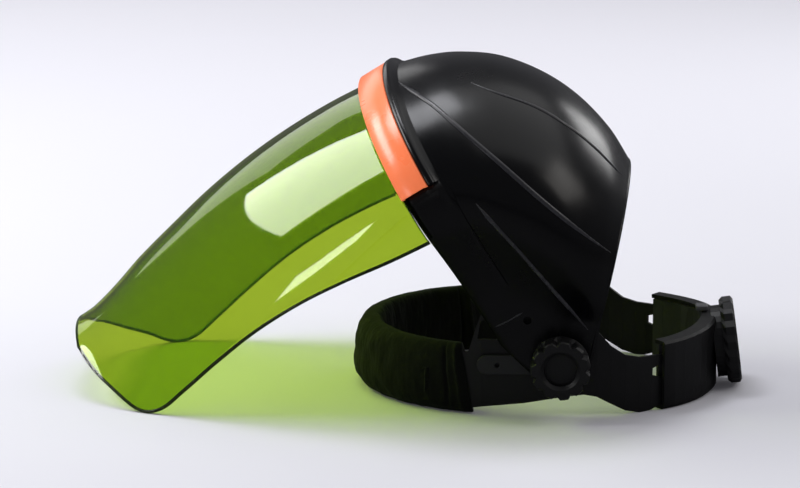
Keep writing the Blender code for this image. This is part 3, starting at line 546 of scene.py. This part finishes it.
def build_creases(tree):
    """The hood's raised lines."""
    bm = bmesh.new()
    for width, proud, points in HOOD_RIBS.values():
        for side in (1, -1):
            raised_line(bm, tree, width, proud, points, side)
    piece("hood_creases", bm, SHIELD_PLACE, "shield", 60)


def build_edge_band(tree):
    """The raised band along the hood's front edge."""
    bm = bmesh.new()
    for side in (1, -1):
        raised_band(bm, tree, side)
    piece("hood_edge_band", bm, SHIELD_PLACE, "shield", 35)


def build_rear_bead(rows):
    """The hood's rear edge, rolled into a thin bead."""
    line, before = whole(rows[-1]), whole(rows[-2])
    loops = []
    for k, spot in enumerate(line):
        ahead = (line[min(k + 1, len(line) - 1)] - line[max(k - 1, 0)]).normalized()
        back = (spot - before[k]).normalized()
        out = ahead.cross(back).normalized()
        if out.dot(Vector((spot.x, 0.0, spot.z * 0.5))) < 0:
            out = -out
        centre = spot - out * ARM_WALL * 0.5 - back * BEAD_INSET
        loops.append(ring(centre, back * BEAD_RADIUS, out * BEAD_RADIUS, ROUND_STEPS))
    bm = bmesh.new()
    tube(bm, loops)
    piece("hood_rear_bead", bm, SHIELD_PLACE, "shield", 60)


def build_lip():
    """The lip behind the clip, with rounded corners."""
    bm = bmesh.new()
    tube(bm, rim_loops(rim_spots(HOOD_HALF_WIDTH, HOOD_HEIGHT, TRIM_END), LIP_SECTION))
    piece("hood_lip", bm, SHIELD_PLACE, "shield", 50)


def build_hood():
    """The hood and everything moulded onto it."""
    rows = hood_rows()
    bm = skin(rows)
    bmesh.ops.recalc_face_normals(bm, faces=bm.faces)
    tree = BVHTree.FromBMesh(bm)
    build_shell(bm)
    build_creases(tree)
    build_edge_band(tree)
    build_rear_bead(rows)
    build_lip()


# Visor and clip


def build_visor():
    """The moulded window, and its tongue under the clip."""
    sheet = piece("visor_sheet", skin([visor_row(k / VISOR_ROWS) for k in range(VISOR_ROWS + 1)]),
                  SHIELD_PLACE, "shield", 60)
    wall(sheet, VISOR_WALL)
    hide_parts("visor")
    tongue = -(SEAT_WIDTH - 4 * FIT) / VISOR_LENGTH
    shares = [tongue * k / TONGUE_ROWS - SLIVER for k in range(TONGUE_ROWS, -1, -1)]
    behind = piece("visor_tongue", skin([visor_row(share) for share in shares]),
                   SHIELD_PLACE, "shield", 60)
    wall(behind, VISOR_WALL)
    return sheet, behind


def edge_spots():
    """Points down one side edge and round half the lip, each with its direction and the way out."""
    rows = [visor_row(k / VISOR_ROWS) for k in range(VISOR_ROWS + 1)]
    spots = []
    for k, row in enumerate(rows[:-1]):
        along = rows[k + 1][0] - rows[max(k - 1, 0)][0]
        spots.append((row[0], along, row[0] - row[1]))
    last, before = rows[-1], rows[-2]
    for j in range(len(last)):
        along = last[min(j + 1, len(last) - 1)] - last[max(j - 1, 0)]
        spots.append((last[j], along, last[j] - before[j]))
    return spots


def build_visor_edge():
    """The sheet's polished cut edge: down one side, round the lip and up the other."""
    loops = []
    for spot, along, away in edge_spots():
        away = (away - away.project(along)).normalized()
        out = along.cross(away).normalized()
        if out.x * spot.x + out.z * (spot.z - VISOR_AXIS_Z) < 0:
            out = -out
        centre = spot - out * VISOR_WALL / 2 - away * EDGE_INSET
        loops.append(ring(centre, away * EDGE_DEPTH, out * EDGE_HALF_HEIGHT, ROUND_STEPS))
    loops[-1] = [Vector((0.0, p.y, p.z)) for p in loops[-1]]
    mirrored = [[Vector((-p.x, p.y, p.z)) for p in loop] for loop in reversed(loops[:-1])]
    bm = bmesh.new()
    tube(bm, loops + mirrored)
    return piece("visor_edge", bm, SHIELD_PLACE, "shield", 60)


def build_trim():
    """The clip's channel with rounded outer corners."""
    deep, thin, rounding = TRIM_PROUD, TRIM_WALL, TRIM_ROUNDING
    front, rear = 0.0, -SEAT_WIDTH
    section = (
        (rear, FIT), (rear, deep - rounding), (rear + rounding, deep), (front - rounding, deep),
        (front, deep - rounding), (front, FIT), (front - thin, FIT), (front - thin, deep - thin),
        (rear + thin, deep - thin), (rear + thin, FIT),
    )
    bm = bmesh.new()
    tube(bm, rim_loops(rim_spots(HOOD_HALF_WIDTH + FIT, TRIM_HEIGHT, TRIM_END), section))
    strip = piece("trim_strip", bm, SHIELD_PLACE, "shield", 50)
    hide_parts("brow_trim")
    return strip


# Sweatband


def brow_point(angle, offset):
    """The brow strip's outer line at an angle from the front, and its outward normal."""
    point = Vector((
        BAND_HALF_BREADTH * sin(angle), BAND_FRONT_Y - BAND_FRONT_REACH * cos(angle), 0.0
    ))
    out = Vector((sin(angle) / BAND_HALF_BREADTH, -cos(angle) / BAND_FRONT_REACH, 0.0)).normalized()
    return point + out * offset, out


def power_of(value, power):
    """A sine or cosine, made squarer (power under 1) or slimmer (over 1)."""
    return abs(value) ** power * (1 if value > 0 else -1)


def pad_spot(share, turn):
    """A point of the sleeve: share -1..1 from its left to its right end, turn round its section."""
    side = 1 if share > 0 else -1
    across = power_of(cos(turn), PAD_SQUARE_ACROSS)
    up = power_of(sin(turn), PAD_SQUARE_UP)
    angle = PAD_END * share - side * PAD_SLANT * up * abs(share) ** PAD_SLANT_POWER
    front = max(0.0, cos(angle)) ** PAD_FRONT_POWER
    near_end = max(0.0, (abs(share) - PAD_TAPER_FROM) / (1.0 - PAD_TAPER_FROM))
    seam = exp(-((abs(share) - PAD_SEAM) / PAD_SEAM_WIDTH) ** 2)
    roll = exp(-((abs(share) - PAD_ROLL_AT) / PAD_ROLL_WIDTH) ** 2)
    core = -PAD_CORE - PAD_CORE_FRONT * front
    if across > 0.0:
        reach = PAD_THICK_OUT + PAD_BULGE * front - core
    else:
        reach = PAD_THICK_IN + PAD_CORE_FRONT * front + core
    offset = core + across * (reach * (1.0 - PAD_TAPER * near_end ** 2) + (roll - seam) * PAD_ROLL)
    puff = Vector((angle * PAD_PUFF_RATE[0], up * PAD_PUFF_RATE[1], 3.1))
    nap = Vector((angle * PAD_NAP_RATE[0], up * PAD_NAP_RATE[1], across * PAD_NAP_RATE[2]))
    offset += noise.noise(puff) * PAD_PUFF
    offset += noise.noise(nap) * PAD_NAP
    if across > 0.0 and up < 0.0:
        offset -= front * PAD_FLARE * up * (1.0 + up)
    spot, _ = brow_point(angle, offset)
    spot.z = PAD_HEIGHT / 2 * (1.0 + up * PAD_FULLNESS) - TILT_AXIS.z
    return spot


def tick_loop(spot):
    """A small slanted loop round a point of the tick's thread."""
    wide, deep, tall = TICK_HALF
    turns = (2 * pi * j / TICK_STEPS for j in range(TICK_STEPS))
    return [spot + Vector((cos(r) * wide, sin(r) * deep, sin(r + TICK_SLANT) * tall)) for r in turns]


def build_pad():
    """A foam-filled sleeve: full round top, leaning front, pinched seams and rolled ends."""
    bm = bmesh.new()
    tube(bm, [
        [pad_spot(k / PAD_STEPS, 2 * pi * j / PAD_ROUND_STEPS) for j in range(PAD_ROUND_STEPS)]
        for k in range(-PAD_STEPS, PAD_STEPS + 1)
    ])
    pad = piece("sweatband_pad", bm, HEADGEAR_PLACE, "headgear", 80)
    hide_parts("sweatband")
    return pad


def build_ticks():
    """The sewn tick near each end of the sleeve."""
    bm = bmesh.new()
    for side in (1, -1):
        for a, b in zip(PAD_TICK, PAD_TICK[1:]):
            tube(bm, [
                tick_loop(pad_spot(side * (a[0] + (b[0] - a[0]) * t), a[1] + (b[1] - a[1]) * t))
                for t in (0.0, 0.5, 1.0)
            ])
    return piece("sweatband_tick", bm, HEADGEAR_PLACE, "headgear", 80)


# Materials


def new_material(name):
    """A material with one principled shader, and what is needed to build on it."""
    made = bpy.data.materials.new(name)
    made.use_nodes = True
    nodes, links = made.node_tree.nodes, made.node_tree.links
    nodes.clear()
    output = nodes.new("ShaderNodeOutputMaterial")
    shader = nodes.new("ShaderNodeBsdfPrincipled")
    links.new(shader.outputs["BSDF"], output.inputs["Surface"])
    return made, nodes, links, shader, output


def add_noise(nodes, links, scale, detail=4.0, rough=0.55, stretch=(1.0, 1.0, 1.0)):
    """A noise texture in the object's own coordinates."""
    place = nodes.new("ShaderNodeTexCoord")
    mapping = nodes.new("ShaderNodeMapping")
    mapping.inputs["Scale"].default_value = stretch
    links.new(place.outputs["Object"], mapping.inputs["Vector"])
    made = nodes.new("ShaderNodeTexNoise")
    made.inputs["Scale"].default_value = scale
    made.inputs["Detail"].default_value = detail
    made.inputs["Roughness"].default_value = rough
    links.new(mapping.outputs["Vector"], made.inputs["Vector"])
    return made


def ramp(nodes, links, source, stops):
    """Colours by a value, from pairs of position and colour."""
    made = nodes.new("ShaderNodeValToRGB")
    made.color_ramp.elements[0].position, made.color_ramp.elements[0].color = stops[0]
    made.color_ramp.elements[1].position, made.color_ramp.elements[1].color = stops[-1]
    for position, colour in stops[1:-1]:
        made.color_ramp.elements.new(position).color = colour
    links.new(source, made.inputs["Fac"])
    return made


def spread(nodes, links, source, low, high):
    """A noise value's middle range, spread from low to high."""
    made = nodes.new("ShaderNodeMapRange")
    made.inputs["From Min"].default_value, made.inputs["From Max"].default_value = 0.3, 0.7
    made.inputs["To Min"].default_value, made.inputs["To Max"].default_value = low, high
    links.new(source, made.inputs["Value"])
    return made.outputs["Result"]


def bumped(nodes, links, shader, source, strength, distance, before=None):
    """Adds a bump to a shader, on top of an earlier one if given."""
    made = nodes.new("ShaderNodeBump")
    made.inputs["Strength"].default_value = strength
    made.inputs["Distance"].default_value = distance
    links.new(source, made.inputs["Height"])
    if before:
        links.new(before, made.inputs["Normal"])
    links.new(made.outputs["Normal"], shader.inputs["Normal"])
    return made.outputs["Normal"]


def moulded(name, dark, light, rough_low, rough_high, grain_scale, grain, gloss=0.35):
    """Moulded plastic: cloudy tone, uneven gloss, flow waves and a fine grain."""
    made, nodes, links, shader, _ = new_material(name)
    cloud = add_noise(nodes, links, 14.0, 5.0)
    tone = ramp(nodes, links, cloud.outputs["Fac"], ((0.3, (*dark, 1)), (0.7, (*light, 1))))
    links.new(tone.outputs["Color"], shader.inputs["Base Color"])
    patches = add_noise(nodes, links, 38.0, 6.0, 0.65)
    links.new(spread(nodes, links, patches.outputs["Fac"], rough_low, rough_high),
              shader.inputs["Roughness"])
    wave = add_noise(nodes, links, 22.0, 2.0)
    soft = bumped(nodes, links, shader, wave.outputs["Fac"], 0.12, 0.0008)
    fine = add_noise(nodes, links, grain_scale, 3.0)
    bumped(nodes, links, shader, fine.outputs["Fac"], grain, 0.0001, soft)
    shader.inputs["Specular IOR Level"].default_value = gloss
    return made


def fabric_material():
    """Black napped cloth with a green cast: cloudy tone, fine nap and soft folds."""
    made, nodes, links, shader, _ = new_material("sweatband cloth")
    cloud = add_noise(nodes, links, 60.0, 6.0, 0.7)
    tone = ramp(nodes, links, cloud.outputs["Fac"], (
        (0.25, (0.0008, 0.0011, 0.0006, 1)), (0.6, (0.0018, 0.0024, 0.0013, 1)),
        (0.85, (0.0042, 0.0052, 0.0032, 1))))
    links.new(tone.outputs["Color"], shader.inputs["Base Color"])
    links.new(spread(nodes, links, cloud.outputs["Fac"], 0.85, 1.0), shader.inputs["Roughness"])
    nap = add_noise(nodes, links, 900.0, 4.0, 0.7)
    first = bumped(nodes, links, shader, nap.outputs["Fac"], 0.7, 0.0006)
    folds = add_noise(nodes, links, 45.0, 3.0, 0.5, (1.0, 1.0, 2.2))
    bumped(nodes, links, shader, folds.outputs["Fac"], 0.25, 0.0014, first)
    shader.inputs["Sheen Weight"].default_value = 0.10
    shader.inputs["Sheen Roughness"].default_value = 0.5
    shader.inputs["Sheen Tint"].default_value = (0.25, 0.32, 0.25, 1.0)
    shader.inputs["Specular IOR Level"].default_value = 0.25
    return made


def visor_material():
    """Tinted clear sheet with faint ripples, whose shadow is green."""
    made, nodes, links, shader, output = new_material("tinted visor sheet")
    cloud = add_noise(nodes, links, 9.0, 2.0)
    tone = ramp(nodes, links, cloud.outputs["Fac"], (
        (0.3, (0.325, 0.465, 0.016, 1)), (0.7, (0.355, 0.500, 0.024, 1))))
    links.new(tone.outputs["Color"], shader.inputs["Base Color"])
    specks = add_noise(nodes, links, 120.0, 5.0, 0.7)
    links.new(spread(nodes, links, specks.outputs["Fac"], 0.012, 0.045), shader.inputs["Roughness"])
    wave = add_noise(nodes, links, 7.0, 1.0)
    bumped(nodes, links, shader, wave.outputs["Fac"], 0.05, 0.0010)
    shader.inputs["Transmission Weight"].default_value = 1.0
    shader.inputs["IOR"].default_value = 1.50
    path = nodes.new("ShaderNodeLightPath")
    through = nodes.new("ShaderNodeBsdfTransparent")
    through.inputs["Color"].default_value = (0.56, 0.68, 0.34, 1.0)
    mix = nodes.new("ShaderNodeMixShader")
    links.new(path.outputs["Is Shadow Ray"], mix.inputs["Fac"])
    links.new(shader.outputs["BSDF"], mix.inputs[1])
    links.new(through.outputs["BSDF"], mix.inputs[2])
    links.new(mix.outputs["Shader"], output.inputs["Surface"])
    return made


def edge_material():
    """The sheet's cut edge, two-toned by facing: painted shade, near black, where it faces out, and a
    painted highlight, bright green, where it faces in.
    """
    made, nodes, links, shader, _ = new_material("visor cut edge")
    place, facing = nodes.new("ShaderNodeTexCoord"), nodes.new("ShaderNodeNewGeometry")
    across = []
    for source in (place.outputs["Object"], facing.outputs["Normal"]):
        split = nodes.new("ShaderNodeSeparateXYZ")
        links.new(source, split.inputs["Vector"])
        across.append(split.outputs["X"])
    outward = nodes.new("ShaderNodeMath")
    outward.operation = "MULTIPLY"
    links.new(across[0], outward.inputs[0])
    links.new(across[1], outward.inputs[1])
    dark = nodes.new("ShaderNodeMapRange")
    dark.inputs["From Min"].default_value, dark.inputs["From Max"].default_value = -0.02, 0.01
    links.new(outward.outputs["Value"], dark.inputs["Value"])
    cloud = add_noise(nodes, links, 150.0, 4.0)
    # Painted shade on the outward-facing side (near black) and a painted highlight on the inward-facing
    # side (bright green)
    outer = ramp(nodes, links, cloud.outputs["Fac"], (
        (0.3, (0.006, 0.014, 0.001, 1)), (0.7, (0.012, 0.024, 0.002, 1))))
    painted_highlight_tone = ramp(nodes, links, cloud.outputs["Fac"], (
        (0.3, (0.180, 0.330, 0.020, 1)), (0.7, (0.240, 0.420, 0.030, 1))))
    tone = nodes.new("ShaderNodeMix")
    tone.data_type = "RGBA"
    links.new(dark.outputs["Result"], tone.inputs["Factor"])
    links.new(painted_highlight_tone.outputs["Color"], tone.inputs["A"])
    links.new(outer.outputs["Color"], tone.inputs["B"])
    links.new(tone.outputs["Result"], shader.inputs["Base Color"])
    links.new(spread(nodes, links, cloud.outputs["Fac"], 0.12, 0.30), shader.inputs["Roughness"])
    bumped(nodes, links, shader, cloud.outputs["Fac"], 0.2, 0.0002)
    shader.inputs["Transmission Weight"].default_value = 0.3
    return made


def trim_material():
    """Satin orange plastic, a little pinker where it catches the light, with a painted glow in its own
    orange.
    """
    made, nodes, links, shader, _ = new_material("orange clip plastic")
    cloud = add_noise(nodes, links, 30.0, 4.0)
    tone = ramp(nodes, links, cloud.outputs["Fac"], (
        (0.3, (0.98, 0.205, 0.070, 1)), (0.7, (1.0, 0.240, 0.095, 1))))
    links.new(tone.outputs["Color"], shader.inputs["Base Color"])
    links.new(spread(nodes, links, cloud.outputs["Fac"], 0.24, 0.34), shader.inputs["Roughness"])
    wave = add_noise(nodes, links, 90.0, 2.0)
    bumped(nodes, links, shader, wave.outputs["Fac"], 0.12, 0.0004)
    # Painted glow: the plastic emits its own orange, which lightens it as if it were more brightly lit
    links.new(tone.outputs["Color"], shader.inputs["Emission Color"])
    shader.inputs["Emission Strength"].default_value = 0.30
    shader.inputs["Coat Weight"].default_value = 0.3
    shader.inputs["Coat Roughness"].default_value = 0.2
    shader.inputs["Subsurface Weight"].default_value = 0.08
    shader.inputs["Subsurface Scale"].default_value = 0.002
    return made


def steel_material():
    """Dull grey steel with a fine drawn grain."""
    made, nodes, links, shader, _ = new_material("zinc plated steel")
    cloud = add_noise(nodes, links, 160.0, 5.0, 0.6, (1.0, 1.0, 6.0))
    tone = ramp(nodes, links, cloud.outputs["Fac"], (
        (0.3, (0.42, 0.42, 0.43, 1)), (0.7, (0.60, 0.60, 0.61, 1))))
    links.new(tone.outputs["Color"], shader.inputs["Base Color"])
    links.new(spread(nodes, links, cloud.outputs["Fac"], 0.25, 0.45), shader.inputs["Roughness"])
    bumped(nodes, links, shader, cloud.outputs["Fac"], 0.15, 0.0002)
    shader.inputs["Metallic"].default_value = 1.0
    return made


def studio_material():
    """Pale paper with a faint lavender cast and a painted glow, so it is a little brighter away from
    the object, and dimmer in what shiny pieces mirror of it."""
    made, nodes, links, shader, output = new_material("studio paper")
    cloud = add_noise(nodes, links, 1.2, 2.0)
    tone = ramp(nodes, links, cloud.outputs["Fac"], (
        (0.3, (0.730, 0.728, 0.775, 1)), (0.7, (0.745, 0.743, 0.790, 1))))
    links.new(tone.outputs["Color"], shader.inputs["Base Color"])
    place = nodes.new("ShaderNodeTexCoord")
    away = nodes.new("ShaderNodeVectorMath")
    away.operation = "LENGTH"
    links.new(place.outputs["Object"], away.inputs[0])
    # Painted glow: the paper emits light of its own, faint near the object and stronger away from it
    glow = nodes.new("ShaderNodeMapRange")
    glow.interpolation_type = "SMOOTHSTEP"
    glow.inputs["From Min"].default_value, glow.inputs["From Max"].default_value = 0.20, 1.6
    glow.inputs["To Min"].default_value, glow.inputs["To Max"].default_value = 0.03, 0.26
    links.new(away.outputs["Value"], glow.inputs["Value"])
    links.new(glow.outputs["Result"], shader.inputs["Emission Strength"])
    shader.inputs["Roughness"].default_value = 0.75
    shader.inputs["Specular IOR Level"].default_value = 0.0
    shader.inputs["Emission Color"].default_value = (0.93, 0.91, 1.0, 1.0)
    path = nodes.new("ShaderNodeLightPath")
    mirrored = nodes.new("ShaderNodeMath")
    mirrored.operation = "SUBTRACT"
    mirrored.use_clamp = True
    links.new(path.outputs["Is Glossy Ray"], mirrored.inputs[0])
    links.new(path.outputs["Is Transmission Ray"], mirrored.inputs[1])
    dim = nodes.new("ShaderNodeBsdfDiffuse")
    dim.inputs["Color"].default_value = (0.16, 0.16, 0.17, 1.0)
    mix = nodes.new("ShaderNodeMixShader")
    links.new(mirrored.outputs["Value"], mix.inputs["Fac"])
    links.new(shader.outputs["BSDF"], mix.inputs[1])
    links.new(dim.outputs["BSDF"], mix.inputs[2])
    links.new(mix.outputs["Shader"], output.inputs["Surface"])
    return made


def give(thing, made):
    """Puts a material on an object."""
    if not thing.data.materials:
        thing.data.materials.append(None)
    thing.material_slots[0].link = "OBJECT"
    thing.material_slots[0].material = made


# Pieces

HOOD_PLASTIC = moulded("hood plastic", (0.0007, 0.0008, 0.0011), (0.0014, 0.0015, 0.0020), 0.20, 0.28,
                       700.0, 0.10, 0.30)
# Painted highlight: the raised lines are far lighter than the hood around them
CREASE_PAINTED_HIGHLIGHT = moulded("crease painted highlight", (0.018, 0.018, 0.021), (0.034, 0.034, 0.038), 0.22, 0.32,
                         700.0, 0.10, 0.5)
BAND_PLASTIC = moulded("band plastic", (0.0036, 0.0036, 0.0040), (0.0070, 0.0070, 0.0078), 0.42, 0.55,
                       500.0, 0.18)
KNOB_PLASTIC = moulded("knob plastic", (0.0035, 0.0035, 0.0040), (0.0080, 0.0080, 0.0085), 0.38, 0.52,
                       600.0, 0.16)
TAB_PLASTIC = moulded("tab plastic", (0.0100, 0.0100, 0.0120), (0.0180, 0.0180, 0.0210), 0.45, 0.60,
                      500.0, 0.16)
LINER_PLASTIC = moulded("liner plastic", (0.0200, 0.0200, 0.0225), (0.0330, 0.0330, 0.0360), 0.50, 0.62,
                        500.0, 0.16)
CLIP_PLASTIC = moulded("clip plastic", (0.10, 0.10, 0.11), (0.16, 0.16, 0.17), 0.35, 0.50, 500.0, 0.16)
VISOR = visor_material()
VISOR_CUT = edge_material()

build_hood()
for name in ("hood_shell", "hood_edge_band", "hood_rear_bead", "hood_lip"):
    give(bpy.data.objects[name], HOOD_PLASTIC)
give(bpy.data.objects["hood_creases"], CREASE_PAINTED_HIGHLIGHT)
for sheet in build_visor():
    give(sheet, VISOR)
give(build_visor_edge(), VISOR_CUT)
give(build_trim(), trim_material())
CLOTH = fabric_material()
give(build_pad(), CLOTH)
give(build_ticks(), CLOTH)

STEEL = steel_material()
for name, finish, width in (
    ("headband", BAND_PLASTIC, 0.0004), ("rear_cover", BAND_PLASTIC, 0.0006),
    ("rear_liner", LINER_PLASTIC, 0.0004), ("rear_clip", CLIP_PLASTIC, 0.0003),
    ("rear_knob", KNOB_PLASTIC, 0.0005), ("tilt_tab_left", TAB_PLASTIC, 0.0003),
    ("tilt_tab_right", TAB_PLASTIC, 0.0003), ("tilt_knob_left", KNOB_PLASTIC, 0.0006),
    ("tilt_knob_right", KNOB_PLASTIC, 0.0006), ("pivot_bolt_left", STEEL, 0.0003),
    ("pivot_bolt_right", STEEL, 0.0003),
):
    give(NODES[name], finish)
    soften(NODES[name], width)


# Studio


def build_floor():
    """A plain sheet of pale paper, wide enough for every side to be looked at."""
    bm = bmesh.new()
    bmesh.ops.create_grid(bm, x_segments=1, y_segments=1, size=FLOOR_HALF)
    mesh = bpy.data.meshes.new("studio_floor")
    bm.to_mesh(mesh)
    bm.free()
    floor = bpy.data.objects.new("studio_floor", mesh)
    bpy.context.scene.collection.objects.link(floor)
    floor.data.materials.append(studio_material())


def softbox(name, direction, distance, size, power, colour=(1.0, 1.0, 1.0)):
    """A rectangular light that faces the object from a direction."""
    light = bpy.data.lights.new(name, "AREA")
    light.shape = "RECTANGLE"
    light.size, light.size_y = size
    light.energy = power
    light.color = colour
    made = bpy.data.objects.new(name, light)
    bpy.context.scene.collection.objects.link(made)
    made.visible_camera = False
    direction = Vector(direction).normalized()
    made.location = LOOKS_AT + direction * distance
    made.rotation_mode = "QUATERNION"
    made.rotation_quaternion = direction.to_track_quat("Z", "Y")


def build_camera():
    """The photograph's camera."""
    data = bpy.data.cameras.new("camera")
    data.lens = CAMERA_LENS
    data.sensor_width = SENSOR_WIDTH
    data.clip_start, data.clip_end = CLIP_NEAR, CLIP_FAR
    camera = bpy.data.objects.new("camera", data)
    bpy.context.scene.collection.objects.link(camera)
    back = Vector((
        cos(CAMERA_ELEVATION) * cos(CAMERA_YAW), cos(CAMERA_ELEVATION) * sin(CAMERA_YAW),
        sin(CAMERA_ELEVATION),
    ))
    camera.location = LOOKS_AT + back * CAMERA_DISTANCE
    camera.rotation_mode = "QUATERNION"
    camera.rotation_quaternion = back.to_track_quat("Z", "Y")
    bpy.context.scene.camera = camera


build_floor()
build_camera()

# Lamps: direction from the object, distance and size in metres, watts, and a tint where it has one
softbox("key softbox", (-0.08, -0.70, 0.62), 1.5, (1.3, 0.45), 15.0)
softbox("top softbox", (-0.26, -0.21, 0.94), 1.6, (0.75, 0.5), 9.5, (0.94, 0.95, 1.0))
softbox("ceiling", (-0.25, 0.40, 1.0), 2.3, (2.6, 2.4), 14.0)
softbox("veil softbox", (-0.82, -0.44, 0.38), 1.8, (1.1, 0.6), 2.2)
softbox("rim softbox", (-0.74, 0.58, 0.33), 1.5, (0.5, 0.35), 2.0)
softbox("side strip", (0.80, -0.56, 0.20), 1.5, (0.35, 0.10), 1.0)
softbox("rear softbox", (0.10, 1.0, 0.70), 1.7, (0.8, 0.5), 3.2, (1.0, 0.96, 0.92))

# A pale room for the camera, and a dim one for what the object reflects
world = bpy.data.worlds.new("studio")
world.use_nodes = True
room = world.node_tree
background = room.nodes["Background"]
background.inputs["Color"].default_value = (0.90, 0.90, 0.98, 1.0)
seen = room.nodes.new("ShaderNodeLightPath")
level = room.nodes.new("ShaderNodeMapRange")
level.inputs["To Min"].default_value, level.inputs["To Max"].default_value = 0.14, 0.95
room.links.new(seen.outputs["Is Camera Ray"], level.inputs["Value"])
room.links.new(level.outputs["Result"], background.inputs["Strength"])
bpy.context.scene.world = world
bpy.context.scene.view_settings.view_transform = "Standard"
